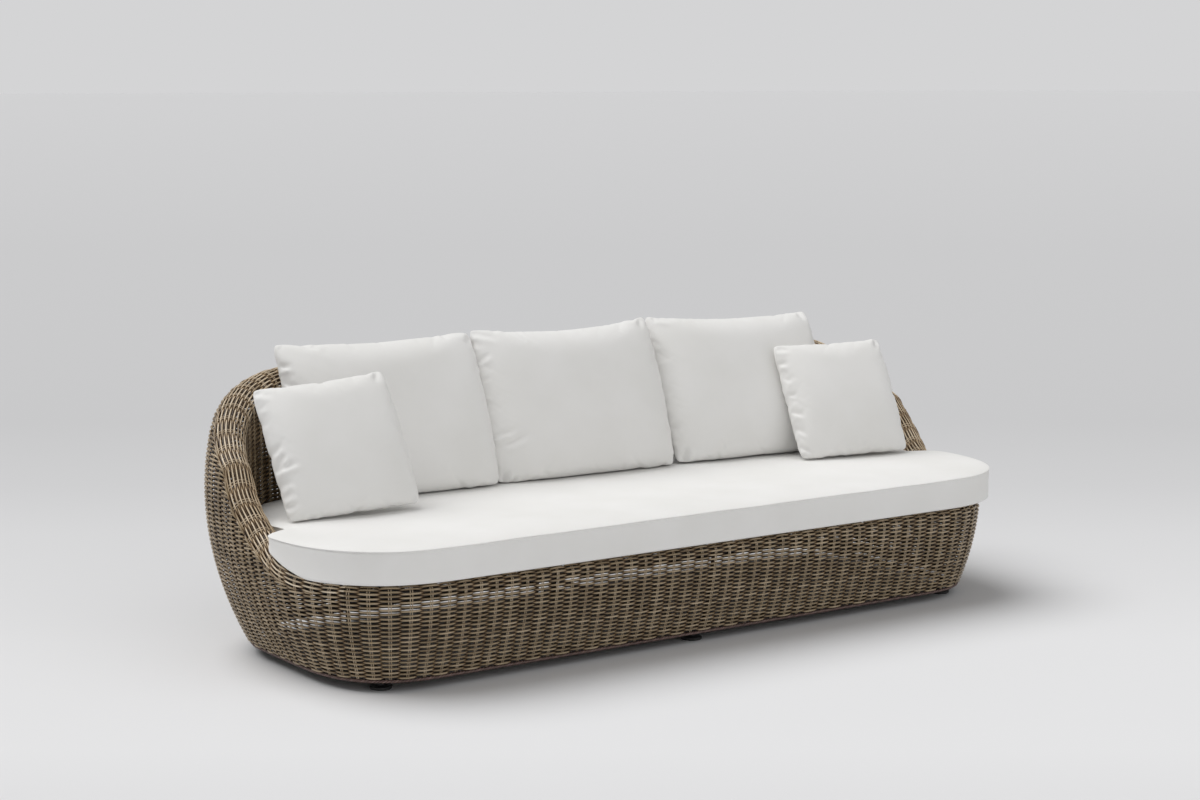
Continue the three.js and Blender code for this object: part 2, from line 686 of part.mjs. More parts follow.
const sides = (at) => {
  const onMiddle = at === 0 || at === HALF_SHARE;
  return onMiddle ? [[at, "center"]] : [[at, "right"], [2 * HALF_SHARE - at, "left"]];
};
FRONT_RIB_SHARES.flatMap(sides).forEach(([loop, side], i) => {
  add(`front_rib_${i + 1}_${side}`, outerRib(loop, false), materials.frame);
});
ARM_RIB_SHARES.flatMap(sides).forEach(([loop, side], i) => {
  add(`outer_rib_${i + 1}_${side}`, outerRib(loop, true), materials.frame);
  add(`inner_rib_${i + 1}_${side}`, innerRib(loop), materials.frame);
});

for (let i = 0; i < CROSS_BARS; i += 1) {
  const x = (i - (CROSS_BARS - 1) / 2) * CROSS_BAR_SPACING;
  add(`cross_bar_${i + 1}`, barAcross(x, seatRingOut, RING_LEVEL).geometry, materials.frame);
}

["left", "center", "right"].forEach((side, i) => {
  const x = (i - 1) * (END_X - RAIL_INSET);
  const rail = barAcross(x, footRingOut, FOOT_RING_LEVEL);
  add(`foot_rail_${side}`, rail.geometry, materials.frame);
  add(`glide_front_${side}`, glideGeometry(), materials.glide).position.set(x, rail.front + GLIDE_INSET, 0);
  add(`glide_back_${side}`, glideGeometry(), materials.glide).position.set(x, rail.back - GLIDE_INSET, 0);
});

// Woven skin: braid along the foot, wall, rolled rim, lining and seat deck.
const braidCentre = () => [BRAID_PROUD - BRAID_RADIUS, FOOT_CLEARANCE + BRAID_RADIUS];
add("bottom_braid", shellStrip(circleProfile(braidCentre, BRAID_RADIUS)), materials.braid);

const panels = {
  front: [-FRONT_PANEL_SHARE, FRONT_PANEL_SHARE],
  right: [FRONT_PANEL_SHARE, BACK_PANEL_SHARE],
  back: [BACK_PANEL_SHARE, 2 * HALF_SHARE - BACK_PANEL_SHARE],
  left: [2 * HALF_SHARE - BACK_PANEL_SHARE, 2 * HALF_SHARE - FRONT_PANEL_SHARE],
};
for (const [side, [from, to]] of Object.entries(panels)) {
  add(`wall_weave_${side}`, shellStrip(wallProfile, from, to), materials.weave);
  add(`rim_weave_${side}`, shellStrip(rimProfile, from, to), materials.weave);
}
add("lining_weave_right", shellStrip(liningProfile, liningStart, BACK_PANEL_SHARE), materials.weave);
add("lining_weave_back", shellStrip(liningProfile, ...panels.back), materials.weave);
add(
  "lining_weave_left",
  shellStrip(liningProfile, 2 * HALF_SHARE - BACK_PANEL_SHARE, 2 * HALF_SHARE - liningStart),
  materials.weave,
);
add("seat_deck", deckGeometry(), materials.weave);

// Cushions
const seat = add("seat_cushion", seatCushionGeometry(), materials.cover);
seat.updateMatrixWorld();
const backRoll = rollAt(HALF_SHARE);
const liningFace = FOOT_DEPTH + backRoll.out - backRoll.radius;

// A cushion turned as it stands, so far along, so far in front of the lining, and lowered onto the seat
function standOnSeat(geometry, { name, yaw, lean, tilt }, x, before) {
  const cushion = add(name, geometry, materials.cover);
  const turn = THREE.MathUtils.degToRad;
  cushion.rotation.set(-turn(lean), -turn(tilt), turn(yaw), "ZXY");
  cushion.position.set(x, liningFace - before, 2 * SEAT_TOP);
  cushion.updateMatrixWorld();
  cushion.position.z -= fallTo(seat, cushion) - GAP;
}

for (const shares of BACK_PLACE_SHARES) {
  const geometry = knifeCushionGeometry(BACK_WIDTH, BACK_TALL, BACK_THICKNESS, BACK_DRAW);
  const x = shares.along * (BACK_WIDTH + BACK_APART) + BACK_SHIFT;
  standOnSeat(geometry, shares, x, shares.stand * BACK_STAND);
}
for (const shares of PILLOW_PLACE_SHARES) {
  const geometry = knifeCushionGeometry(PILLOW_SIDE, PILLOW_SIDE, PILLOW_THICKNESS, PILLOW_DRAW);
  const x = shares.side * (END_X - shares.inset * PILLOW_INSET);
  standOnSeat(geometry, shares, x, shares.stand * (BACK_STAND + PILLOW_BEFORE));
}

// Origin: the middle of the whole sofa's outline on the floor
const extent = new THREE.Box3().setFromObject(sofa, true);
const middle = extent.getCenter(new THREE.Vector3());
sofa.position.set(-middle.x, -middle.y, -extent.min.z);

export default sofa;
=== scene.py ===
import bmesh
import bpy
import numpy as np
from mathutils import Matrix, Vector


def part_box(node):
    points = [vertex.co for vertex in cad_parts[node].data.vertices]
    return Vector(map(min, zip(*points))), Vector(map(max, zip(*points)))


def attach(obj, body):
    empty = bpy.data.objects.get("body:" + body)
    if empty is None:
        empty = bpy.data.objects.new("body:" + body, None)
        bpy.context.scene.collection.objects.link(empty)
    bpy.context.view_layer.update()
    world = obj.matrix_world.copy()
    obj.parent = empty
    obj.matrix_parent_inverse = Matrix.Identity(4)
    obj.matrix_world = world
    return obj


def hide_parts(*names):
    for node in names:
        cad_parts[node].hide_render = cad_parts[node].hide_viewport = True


# Looks of a woven garden sofa: resin strands over pairs of stakes, a rolled rim, and loose white cushions.
# Metres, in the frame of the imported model: +X along the sofa, +Y to its back, +Z up, floor at Z = 0.
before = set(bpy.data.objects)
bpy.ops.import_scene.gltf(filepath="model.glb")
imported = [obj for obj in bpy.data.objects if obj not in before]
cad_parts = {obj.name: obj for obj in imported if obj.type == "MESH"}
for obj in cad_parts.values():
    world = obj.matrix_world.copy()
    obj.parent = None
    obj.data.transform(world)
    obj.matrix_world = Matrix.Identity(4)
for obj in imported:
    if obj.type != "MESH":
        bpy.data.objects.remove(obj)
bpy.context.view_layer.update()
node_box = {name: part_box(name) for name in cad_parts}
MM = 0.001
UP = np.array([0, 0, 1.0])

# Camera of the photograph: where it stands, how it is turned (radians), its lens, and how far it sees
CAMERA_PLACE = (-4.37105, -6.14076, 1.77182)
CAMERA_TILT_DOWN = 0.13791
CAMERA_TURN_RIGHT = 0.61104
CAMERA_LENS_MM = 69
CAMERA_SENSOR_MM = 36
CAMERA_REACH = 2000

# Outline of the woven wall at its foot; its length and depth come from the braid
BRAID_PROUD = 2 * MM
BRAID_RADIUS = 6 * MM
FRONT_CORNER_ALONG = 308 * MM
FRONT_CORNER_DEEP = 376 * MM
FRONT_CORNER_POWER = 2.7
REAR_CORNER_RADIUS = 320 * MM
FRONT_LINE = node_box["bottom_braid"][0].y + BRAID_PROUD
END_X = node_box["bottom_braid"][1].x - BRAID_PROUD
FOOT_DEPTH = node_box["bottom_braid"][1].y - BRAID_PROUD - FRONT_LINE
END_STRAIGHT = FOOT_DEPTH - FRONT_CORNER_DEEP - REAR_CORNER_RADIUS

# Samples of a whole curve, and of one run of the outline
CURVE_SAMPLES = 4001
RUN_SAMPLES = 1001

# Heights of the shell, how far its wall leans out, and the roll of its rim; the gap is the one between CAD nodes
GAP = 0.3 * MM
FOOT_CLEARANCE = node_box["bottom_braid"][0].z
WALL_BOTTOM = node_box["bottom_braid"][1].z + GAP
SEAT_HEIGHT = node_box["seat_cushion"][0].z - GAP
BACK_HEIGHT = 865 * MM
FRONT_FLARE = 69 * MM
END_FLARE = 136 * MM
FRONT_WIDEST_HEIGHT = 380 * MM
END_WIDEST_HEIGHT = 510 * MM
ROLL_RADIUS = 57 * MM
FRONT_ROLL_RADIUS = 19.2 * MM
FULL_TURN_SHARE = 0.45

# Steps in which the meeting of wall and roll is found, and the height at a length up the wall
MEETING_STEPS = 8
HEIGHT_STEPS = 5

# Stations along half the outline: 0 to 1 front, 1 to 2 front corner, 2 to 3 end, 3 to 4 rear corner,
# 4 to 5 back. Each row: station, then shares of the climb, the roll's growth, the widest height, the flare.
RIM_SHARES = np.array([
    [0, 0, 0, 0, 0], [1, 0, 0, 0, 0], [1.5, 0, 0, 0.03, 0.02], [1.62, 0, 0, 0.14, 0.12],
    [1.76, 0.035, 0.16, 0.32, 0.29], [1.92, 0.105, 0.55, 0.52, 0.49], [2, 0.147, 0.69, 0.61, 0.59],
    [2.3, 0.235, 0.97, 0.85, 0.85], [2.65, 0.375, 1, 1, 1], [3, 0.56, 1, 1, 0.9],
    [3.2, 0.715, 1, 1, 0.88], [3.4, 0.85, 1, 1, 0.87], [3.6, 0.935, 1, 1, 0.87],
    [3.8, 0.985, 1, 1, 0.87], [4, 1, 1, 1, 0.87], [5, 1, 1, 1, 0.87],
])
HALF_LOOP = 5
PANELS = {
    "front": (-1.5, 1.5), "right": (1.5, 3.5), "back_right": (3.5, 5), "back_left": (5, 6.5), "left": (6.5, 8.5),
}

# Weave: round strands, one pitch apart, that swing over and under pairs of stakes and drift a little
STRAND_PITCH = 6.85 * MM
STRAND_RADIUS = 3.35 * MM
STRAND_SIDES = 6
STRAND_STEP = 10.5 * MM
STRAND_WANDER = 0.9 * MM
WANDER_WAVES = (7, 19, 43)
WEAVE_SWING = 4.7 * MM
SWING_FULLNESS = 0.45
SKIN_INSET = 5.2 * MM

# Families of the strands' random numbers
WALL_FAMILY, RIM_FAMILY, LINING_FAMILY = 1, 2, 3

# A wall row that meets the rim turns along it, this far below the border, and is tucked in under the rows below
ROW_END_INSET = 0.4 * STRAND_PITCH
TUCK = 8 * MM
TUCK_LENGTH = 42 * MM

# Rim: thinner strands that swing less on the roll and dive in a little after each stake. Their painted shade is drawn
# as if they swung by this share of their swing and stood this much higher.
RIM_STRANDS = 21
RIM_RADIUS = 2.9 * MM
RIM_SWING = 2.4 * MM
RIM_FULLNESS = 0.35
RIM_LAG = 0.25
RIM_SHADE = 0.95
RIM_SHADE_LIFT = 0.5 * MM

# A rim strand needs this share of a pitch to fit, and more than this many steps of the rim's length
RIM_ROOM = 0.7
RIM_STEP = 4 * MM
RIM_SHORTEST = 10

# Stakes: thin, in pairs, raised so that they show between the strands; station, and millimetres between pairs
STAKE_RADIUS = 1.6 * MM
STAKE_SIDES = 5
STAKE_LIFT = 2.5 * MM
STAKE_APART = 5.6 * MM
STAKE_STEP = 18 * MM
STAKE_SPACING = np.array([
    [0, 54.5], [0.8, 54], [1.15, 52], [1.4, 48], [1.5, 48], [1.6, 51], [1.7, 57], [1.79, 60], [1.88, 55],
    [1.97, 48], [2.1, 42], [2.36, 38], [2.6, 43], [2.85, 45], [3.2, 45], [4, 52], [5, 54],
])

# Step of the dense places in which an arc length is looked up
FINE_STEP = 2 * MM

# Where the wall's level rows end against the rim's strands: millimetres past the line where wall meets roll
BORDER_PAST_MEETING = np.array([
    [0, -8], [1.5, -8], [1.62, -9], [1.7, -12], [1.79, -17], [1.88, -17], [1.925, -12], [1.97, -5], [2.03, 5],
    [2.13, 15], [2.25, 25], [2.36, 32], [2.5, 36], [3.2, 38], [4, 30], [5, 30],
])

# Braid along the foot: its strands, the radius of their helix, and the length in which one goes round once
BRAID_STRANDS = 3
BRAID_STRAND_RADIUS = 3.1 * MM
BRAID_HELIX = 3.0 * MM
BRAID_LAY = 34 * MM
BRAID_STEPS_A_LAY = 9

# Flat bands of the seat deck
BAND_WIDTH = 30 * MM
BAND_PITCH = 36 * MM
BAND_THICKNESS = 1.6 * MM
BAND_SWING = 1.6 * MM
DECK_OUTLINE_SAMPLES = 2001
DECK_EDGE_SAMPLES = 801

# Seat cushion: it overhangs the front, and between two stations its edge passes to the inside of the rim
SEAT_BOTTOM = node_box["seat_cushion"][0].z
SEAT_TOP = node_box["seat_cushion"][1].z
SEAT_CROWN = 11 * MM
SEAT_SEAM = SEAT_TOP - SEAT_CROWN
SEAT_OVERHANG = 100 * MM
SEAT_ROUNDING = 20 * MM
SEAT_LEAST_ROUNDING = 6 * MM
SEAT_FLAT_INSET = 40 * MM
SEAT_COLUMNS = 400
SEAT_MIDDLE_LINE = 0.92
SOFT_GAP = 4 * MM
CUSHION_LEAVES_RIM = 1.92
CUSHION_INSIDE_RIM = 2.15

# Its side: share of the height and millimetres out, with a groove under the top seam; the seam, which stands out;
# its crown: millimetres in from the edge and above the seam; and how much its top is uneven and settled
SEAT_SIDE = (
    (0.06, 1), (0.13, -1), (0.25, -1.5), (0.5, -2), (0.75, -1.2), (0.92, 0.4), (0.945, -2.4), (0.968, -2.4),
)
SEAT_SEAM_PROUD = 3.4 * MM
SEAT_SEAM_DROP = 0.8 * MM
SEAT_CROWN_RISE = ((1.5, 1.6), (8, 3.6), (18, 5.8), (34, 8), (60, 9.8), (95, 10.8))
SEAT_CROWN_INSET = 95 * MM
SEAT_UNEVEN = 1.6 * MM
SEAT_UNEVEN_WAVES = (0.9, 0.55, 0.42, 0.31, 0.24)
SEAT_UNEVEN_SEED = 21
SEAT_SETTLED = 1.5 * MM

# Loose cushions: corners of the seam in the photograph's pose, from the upper left one clockwise; how far the
# middle of the top, right, bottom and left edge is drawn in, in millimetres; and creases of the front, each a line
# from one place to another in the cover's unit square (-1 to 1, to the right and up), its width and its depth in mm
BACK_THICKNESS = 180 * MM
PILLOW_THICKNESS = 150 * MM
LOOSE_CUSHIONS = {
    "back_cushion_left": {
        "corners": ((-1.057, 0.406, 0.942), (-0.352, 0.365, 0.946), (-0.363, 0.153, 0.457), (-1.069, 0.194, 0.456)),
        "thick": BACK_THICKNESS, "seed": 3, "drawn": (18, -9, 0, 7),
        "creases": (
            (-0.98, 0.72, -0.86, 0.62, 8, 6), (-0.99, 0.5, -0.84, 0.36, 9, 7), (-0.98, 0.3, -0.86, 0.2, 8, 5),
            (0.96, 0.9, 0.84, 0.76, 9, 5), (0.7, 0.99, 0.66, 0.86, 8, 4), (-0.6, 0.99, -0.62, 0.87, 9, 4),
        ),
    },
    "back_cushion_center": {
        "corners": ((-0.348, 0.364, 0.952), (0.352, 0.334, 0.955), (0.346, 0.143, 0.456), (-0.362, 0.172, 0.455)),
        "thick": BACK_THICKNESS, "seed": 11, "drawn": (28, -9, 0, -4),
        "creases": (
            (-0.99, -0.42, -0.72, -0.33, 8, 8), (-0.84, -0.5, -0.62, -0.38, 8, 6), (-0.98, 0.56, -0.84, 0.6, 8, 6),
            (-0.98, 0.3, -0.88, 0.33, 8, 4), (-0.95, -0.97, -0.87, -0.8, 8, 8), (-0.86, -0.98, -0.8, -0.86, 7, 6),
            (-0.95, 0.94, -0.74, 0.78, 11, 5), (0.92, 0.96, 0.8, 0.8, 10, 6), (0.97, -0.9, 0.88, -0.78, 8, 5),
        ),
    },
    "back_cushion_right": {
        "corners": ((0.380, 0.376, 0.949), (1.089, 0.337, 0.933), (1.065, 0.112, 0.456), (0.361, 0.151, 0.458)),
        "thick": BACK_THICKNESS, "seed": 5, "drawn": (20, 2, 0, -10),
        "creases": (
            (-0.93, -0.96, -0.84, -0.74, 8, 8), (-0.99, -0.55, -0.88, -0.5, 8, 5), (0.9, 0.99, 0.8, 0.8, 9, 7),
            (0.98, 0.9, 0.9, 0.66, 9, 6), (0.1, 0.99, 0.14, 0.82, 8, 4), (-0.9, 0.96, -0.72, 0.84, 11, 5),
        ),
    },
    "throw_pillow_left": {
        "corners": ((-1.247, 0.184, 0.836), (-0.804, 0.153, 0.868), (-0.790, -0.059, 0.472), (-1.233, -0.028, 0.450)),
        "thick": PILLOW_THICKNESS, "seed": 7, "drawn": (11, -4, 3, 3),
        "creases": (
            (-0.99, -0.27, -0.81, -0.05, 8, 9), (-0.97, -0.26, -0.66, -0.2, 8, 8), (-0.96, 0.02, -0.8, 0.06, 8, 6),
            (-0.99, -0.5, -0.84, -0.42, 7, 6), (-0.98, -0.66, -0.84, -0.57, 7, 7), (-0.98, -0.8, -0.8, -0.68, 7, 7),
            (0.9, 0.97, 0.72, 0.78, 9, 6), (-0.94, 0.92, -0.76, 0.8, 9, 5), (-0.7, -0.99, -0.64, -0.86, 8, 5),
        ),
    },
    "throw_pillow_right": {
        "corners": ((0.802, 0.179, 0.838), (1.233, 0.101, 0.843), (1.200, -0.109, 0.461), (0.769, -0.031, 0.455)),
        "thick": PILLOW_THICKNESS, "seed": 13, "drawn": (10, 0, 3, 4),
        "creases": (
            (-0.99, 0.66, -0.82, 0.58, 8, 7), (-0.99, 0.4, -0.84, 0.3, 8, 6), (-0.98, 0.1, -0.82, 0.04, 8, 6),
            (-0.98, -0.2, -0.78, -0.3, 9, 7), (-0.98, -0.5, -0.8, -0.58, 8, 6), (-0.96, -0.8, -0.78, -0.84, 8, 5),
            (0.93, 0.95, 0.76, 0.74, 9, 6), (-0.92, 0.9, -0.74, 0.8, 9, 5),
        ),
    },
}

# Their covers: cut this much larger than the seam's corners, with rounded corners and two slightly uneven sheets
COVER_CUT = 1.03
COVER_STEP = 8 * MM
EAR_RADIUS = 22 * MM
COVER_LENS = 3 * MM
COVER_UNEVEN = 1.5 * MM
COVER_UNEVEN_WAVES = (0.3, 0.2, 0.13, 0.09)

# Their filling: the share of the cloth's swell, the power of the plain one, and the cloth's settings
CLOTH_SHARE = 0.5
SWELL_POWER = 0.42
CLOTH_STEPS = 60
CLOTH = {
    "quality": 6, "mass": 0.3, "air_damping": 2, "tension_stiffness": 30, "compression_stiffness": 12,
    "shear_stiffness": 8, "bending_stiffness": 0.12, "use_pressure": True, "uniform_pressure_force": 6,
}

# Their edges: how far along an edge it is fitted and how far the fit holds, on each side of its middle; the fit's
# degree; the share of the height over which the belly turns level; the gap to the seat
EDGE_FITTED = 0.93
EDGE_HELD = 0.95
EDGE_DEGREE = 4
LOWER_EDGE = 0.35
RESTING_GAP = 0.6 * MM

# Their creases: how much deeper than listed, the shares of the line over which one fades in and out, the ridge's
# height as a share of the valley's depth, and its place in widths; they flatten out this share away from the seam.
# Puckers across the seam are short random creases within the span of each edge.
CREASE_GAIN = 1.5
CREASE_FADES_IN = (-0.25, 0.1)
CREASE_FADES_OUT = (0.45, 1.15)
RIDGE_SHARE = 0.75
RIDGE_ASIDE = 1.7
SEAM_SHARE = 1 / 30
PUCKERS = 26
PUCKER_SPAN = 0.92
PUCKER_WIDTH = 7 * MM
PUCKER_LENGTHS = (25 * MM, 60 * MM)
PUCKER_DEPTHS = (1.5 * MM, 4 * MM)

# Painted shade between the strands: the resin's colour is multiplied by this ramp, dark at the weave's depth and
# white at its outermost line
PAINTED_SHADE_STOPS = ((0.2, "#0F0802"), (0.47, "#261809"), (0.62, "#6B5842"), (0.8, "#CFC2B0"), (0.97, "#FFFFFF"))

# Floor: tones by the near distance over the distance ahead of the place where the photograph was taken, painted light
# that is lightest at the sofa's distance, darker nearer and farther, and a little lighter again far off; the
# backdrop; the world's light; and the lamps, with light on level ground, height, side and spread in degrees
FLOOR_SIZE = 600
FLOOR_NEAR = 5.0
FLOOR_PAINTED_LIGHT = (
    (0.0, "#D2D2D3"), (0.2, "#CBCBCC"), (0.42, "#C9C9CA"), (0.5, "#D0D0D1"), (0.56, "#D9D9DA"), (0.7, "#E3E3E4"),
    (0.84, "#E4E4E5"), (1.0, "#DADADB"),
)
BACKDROP = "#D4D4D5"
WORLD_LIGHT = 0.24
LAMPS = {
    "key_lamp": {"level": 0.64, "height": 62, "side": -42, "spread": 50},
    "fill_lamp": {"level": 0.12, "height": 28, "side": 172, "spread": 80},
}


def make_camera():
    """The photograph's camera, level across, looking down and to the right of +Y."""
    data = bpy.data.cameras.new("photo_camera")
    data.lens = CAMERA_LENS_MM
    data.sensor_width = CAMERA_SENSOR_MM
    data.clip_end = CAMERA_REACH
    camera = bpy.data.objects.new("photo_camera", data)
    camera.location = CAMERA_PLACE
    camera.rotation_euler = (np.pi / 2 - CAMERA_TILT_DOWN, 0, -CAMERA_TURN_RIGHT)
    bpy.context.scene.collection.objects.link(camera)
    bpy.context.scene.camera = camera


# Shape of the woven shell

def through(table, column=1):
    """Monotone cubic through the rows of a table: tangents are weighted harmonic means of the slopes."""
    x, y = table[:, 0], table[:, column]
    step = np.diff(x)
    slope = np.diff(y) / step
    before, after = slope[:-1], slope[1:]
    level = before * after <= 0
    a = 2 * step[1:] + step[:-1]
    b = step[1:] + 2 * step[:-1]
    tangent = np.zeros_like(y)
    safe_before, safe_after = np.where(level, 1, before), np.where(level, 1, after)
    tangent[1:-1] = np.where(level, 0, (a + b) / (a / safe_before + b / safe_after))

    def curve(at):
        i = np.clip(np.searchsorted(x, at, side="right") - 1, 0, len(x) - 2)
        h = step[i]
        t = (at - x[i]) / h
        held = (1 + 2 * t) * (1 - t) ** 2 * y[i] + t * t * (3 - 2 * t) * y[i + 1]
        return held + h * (t * (1 - t) ** 2 * tangent[i] + t * t * (t - 1) * tangent[i + 1])

    return curve


climb_share, roll_share, widest_share, flare_share = (through(RIM_SHARES, column) for column in range(1, 5))
border_past_meeting = through(BORDER_PAST_MEETING)


def mix(low, high, share):
    """Straight mix of two values by a share."""
    return low + (high - low) * share


def smoothstep(low, high, value):
    """Smooth share from 0 at low to 1 at high."""
    t = np.clip((value - low) / (high - low), 0, 1)
    return t * t * (3 - 2 * t)


def foot_loop():
    """Foot outline as dense points: line, superellipse quarter, line, quarter circle, line, then its mirror image.
    Gives arc length, x, y, outward normal and loop station for each point."""
    share = np.linspace(0, 1, CURVE_SAMPLES)
    quarter = share * np.pi / 2
    bend = 2 / FRONT_CORNER_POWER
    front_x, rear_x = END_X - FRONT_CORNER_ALONG, END_X - REAR_CORNER_RADIUS
    side_end = FRONT_CORNER_DEEP + END_STRAIGHT
    runs = [
        (front_x * share, 0 * share),
        (
            front_x + FRONT_CORNER_ALONG * np.sin(quarter) ** bend,
            FRONT_CORNER_DEEP * (1 - np.clip(np.cos(quarter), 0, 1) ** bend),
        ),
        (END_X + 0 * share, FRONT_CORNER_DEEP + END_STRAIGHT * share),
        (rear_x + REAR_CORNER_RADIUS * np.cos(quarter), side_end + REAR_CORNER_RADIUS * np.sin(quarter)),
        (rear_x * (1 - share), FOOT_DEPTH + 0 * share),
    ]
    xs, ys, stations = [], [], []
    for index, (x, y) in enumerate(runs):
        arc = np.concatenate([[0], np.cumsum(np.hypot(np.diff(x), np.diff(y)))])
        even = np.linspace(0, arc[-1], RUN_SAMPLES)[:-1]
        xs.append(np.interp(even, arc, x))
        ys.append(np.interp(even, arc, y))
        stations.append(index + even / arc[-1])
    x = np.concatenate([*xs, [0]])
    y = np.concatenate([*ys, [FOOT_DEPTH]])
    station = np.concatenate([*stations, [HALF_LOOP]])
    x = np.concatenate([x, -x[-2::-1]])
    y = np.concatenate([y, y[-2::-1]])
    station = np.concatenate([station, 2 * HALF_LOOP - station[-2::-1]])
    arc = np.concatenate([[0], np.cumsum(np.hypot(np.diff(x), np.diff(y)))])
    tangent = np.stack([np.gradient(x, arc), np.gradient(y, arc)])
    tangent /= np.hypot(*tangent)
    return {"arc": arc, "x": x, "y": y + FRONT_LINE, "nx": tangent[1], "ny": -tangent[0], "loop": station}


FOOT = foot_loop()
LOOP_LENGTH = FOOT["arc"][-1]


def at_foot(s):
    """Point, outward normal and half-outline station at foot arc length s, which wraps round the loop."""
    wrapped = np.mod(s, LOOP_LENGTH)
    x, y, nx, ny, loop = (np.interp(wrapped, FOOT["arc"], FOOT[key]) for key in ("x", "y", "nx", "ny", "loop"))
    length = np.hypot(nx, ny)
    return x, y, nx / length, ny / length, np.where(loop > HALF_LOOP, 2 * HALF_LOOP - loop, loop)


def arc_at(loop):
    """Foot arc length at a loop station; negative stations lie before the front centre."""
    turns = np.floor(loop / (2 * HALF_LOOP))
    return turns * LOOP_LENGTH + np.interp(loop - turns * 2 * HALF_LOOP, FOOT["loop"], FOOT["arc"])


def wall_sizes(station):
    """Widest height, flare, and height from the floor clearance to the belly, at a station."""
    widest = mix(FRONT_WIDEST_HEIGHT, END_WIDEST_HEIGHT, widest_share(station))
    flare = mix(FRONT_FLARE, END_FLARE, flare_share(station))
    return widest, flare, widest - FOOT_CLEARANCE


def wall_out(station, height):
    """Distance of the wall out from the foot outline: flare times (1 - ((height - widest) / reach) squared)."""
    widest, flare, reach = wall_sizes(station)
    return flare * (1 - ((height - widest) / reach) ** 2)


def wall_lean(station, height):
    """Angle of the wall's normal above level: arc tangent of minus its slope."""
    widest, flare, reach = wall_sizes(station)
    return np.arctan(2 * flare * (height - widest) / reach ** 2)


def roll_at(station):
    """Roll of the rim: distance out and height of its centre, its radius, and the angle and height at which the
    wall meets it."""
    top = mix(SEAT_HEIGHT, BACK_HEIGHT, climb_share(station))
    radius = mix(FRONT_ROLL_RADIUS, ROLL_RADIUS, roll_share(station))
    meet = top - radius
    for _ in range(MEETING_STEPS):
        angle = wall_lean(station, meet)
        meet = top - radius + radius * np.sin(angle)
    out = wall_out(station, meet) - radius * np.cos(angle)
    return {"out": out, "level": top - radius, "radius": radius, "angle": angle, "meet": meet}


def rim_end(station):
    """Angle at which the rim ends inside: 120 degrees over the seat ring, 180 at a full roll."""
    return mix(2 * np.pi / 3, np.pi, np.minimum(1, roll_share(station) / FULL_TURN_SHARE))


def wall_arc(station, height):
    """Length up the wall from its bottom: the integral of 1 + slope squared / 2 for the parabola."""
    widest, flare, reach = wall_sizes(station)
    bend = 2 * flare ** 2 / (3 * reach ** 4)
    return height - WALL_BOTTOM + bend * ((height - widest) ** 3 - (WALL_BOTTOM - widest) ** 3)


def wall_height(station, arc):
    """Height at a length up the wall, by Newton steps on wall_arc."""
    widest, flare, reach = wall_sizes(station)
    height = WALL_BOTTOM + arc
    for _ in range(HEIGHT_STEPS):
        rate = 1 + 2 * flare ** 2 * (height - widest) ** 2 / reach ** 4
        height = height - (wall_arc(station, height) - arc) / rate
    return height


def skin_length(station):
    """Length of the skin's section, up the wall and over the roll to the rim's inner end."""
    roll = roll_at(station)
    return wall_arc(station, roll["meet"]) + roll["radius"] * (rim_end(station) - roll["angle"])


def border(station):
    """Section length at which the wall's level rows end and the rim's strands begin."""
    return wall_arc(station, roll_at(station)["meet"]) + border_past_meeting(station) * MM


def rim_pitch(station):
    """Distance between the rim's strands: they share out the roll, and no closer than the wall's rows."""
    return np.maximum((skin_length(station) - border(station)) / RIM_STRANDS, STRAND_PITCH)


def skin(s, u):
    """Middle surface of the weave at foot arc s and section length u: the leaning wall, then the roll's circle.
    Gives points and outward normals."""
    x, y, nx, ny, station = at_foot(s)
    roll = roll_at(station)
    meet = wall_arc(station, roll["meet"])
    on_wall = u < meet
    height = wall_height(station, np.minimum(u, meet))
    turn = roll["angle"] + np.maximum(u - meet, 0) / roll["radius"]
    tilt = np.where(on_wall, wall_lean(station, height), turn)
    out = np.where(on_wall, wall_out(station, height), roll["out"] + roll["radius"] * np.cos(turn))
    level = np.where(on_wall, height, roll["level"] + roll["radius"] * np.sin(turn))
    out = out - SKIN_INSET * np.cos(tilt)
    level = level - SKIN_INSET * np.sin(tilt)
    points = np.stack([x + nx * out, y + ny * out, level], -1)
    normals = np.stack([nx * np.cos(tilt), ny * np.cos(tilt), np.sin(tilt)], -1)
    return points, normals


def lining(s, height):
    """Middle surface of the lining: a level distance in from the roll's inner side, facing the seat."""
    x, y, nx, ny, station = at_foot(s)
    roll = roll_at(station)
    out = roll["out"] - roll["radius"] + SKIN_INSET
    points = np.stack([x + nx * out, y + ny * out, height + 0 * out], -1)
    return points, np.stack([-nx, -ny, 0 * nx], -1)


def stake_count():
    """Stakes passed by foot arc length s: the integral of one over their spacing, scaled to an even total."""
    loop = np.where(FOOT["loop"] > HALF_LOOP, 2 * HALF_LOOP - FOOT["loop"], FOOT["loop"])
    rate = 1 / (through(STAKE_SPACING)(loop) * MM)
    passed = np.concatenate([[0], np.cumsum((rate[1:] + rate[:-1]) / 2 * np.diff(FOOT["arc"]))])
    total = 2 * round(passed[-1] / 2)
    return passed * total / passed[-1], total


STAKES_PASSED, STAKES = stake_count()


def stakes_before(s):
    """Stakes passed at foot arc s, counted on past each whole loop."""
    turns = np.floor(s / LOOP_LENGTH)
    return turns * STAKES + np.interp(s - turns * LOOP_LENGTH, FOOT["arc"], STAKES_PASSED)


# Rows of the front wall; the rim's rows are counted on from them
FRONT_ROWS = round(float(border(np.array([0.0]))[0] / STRAND_PITCH))


# Meshes

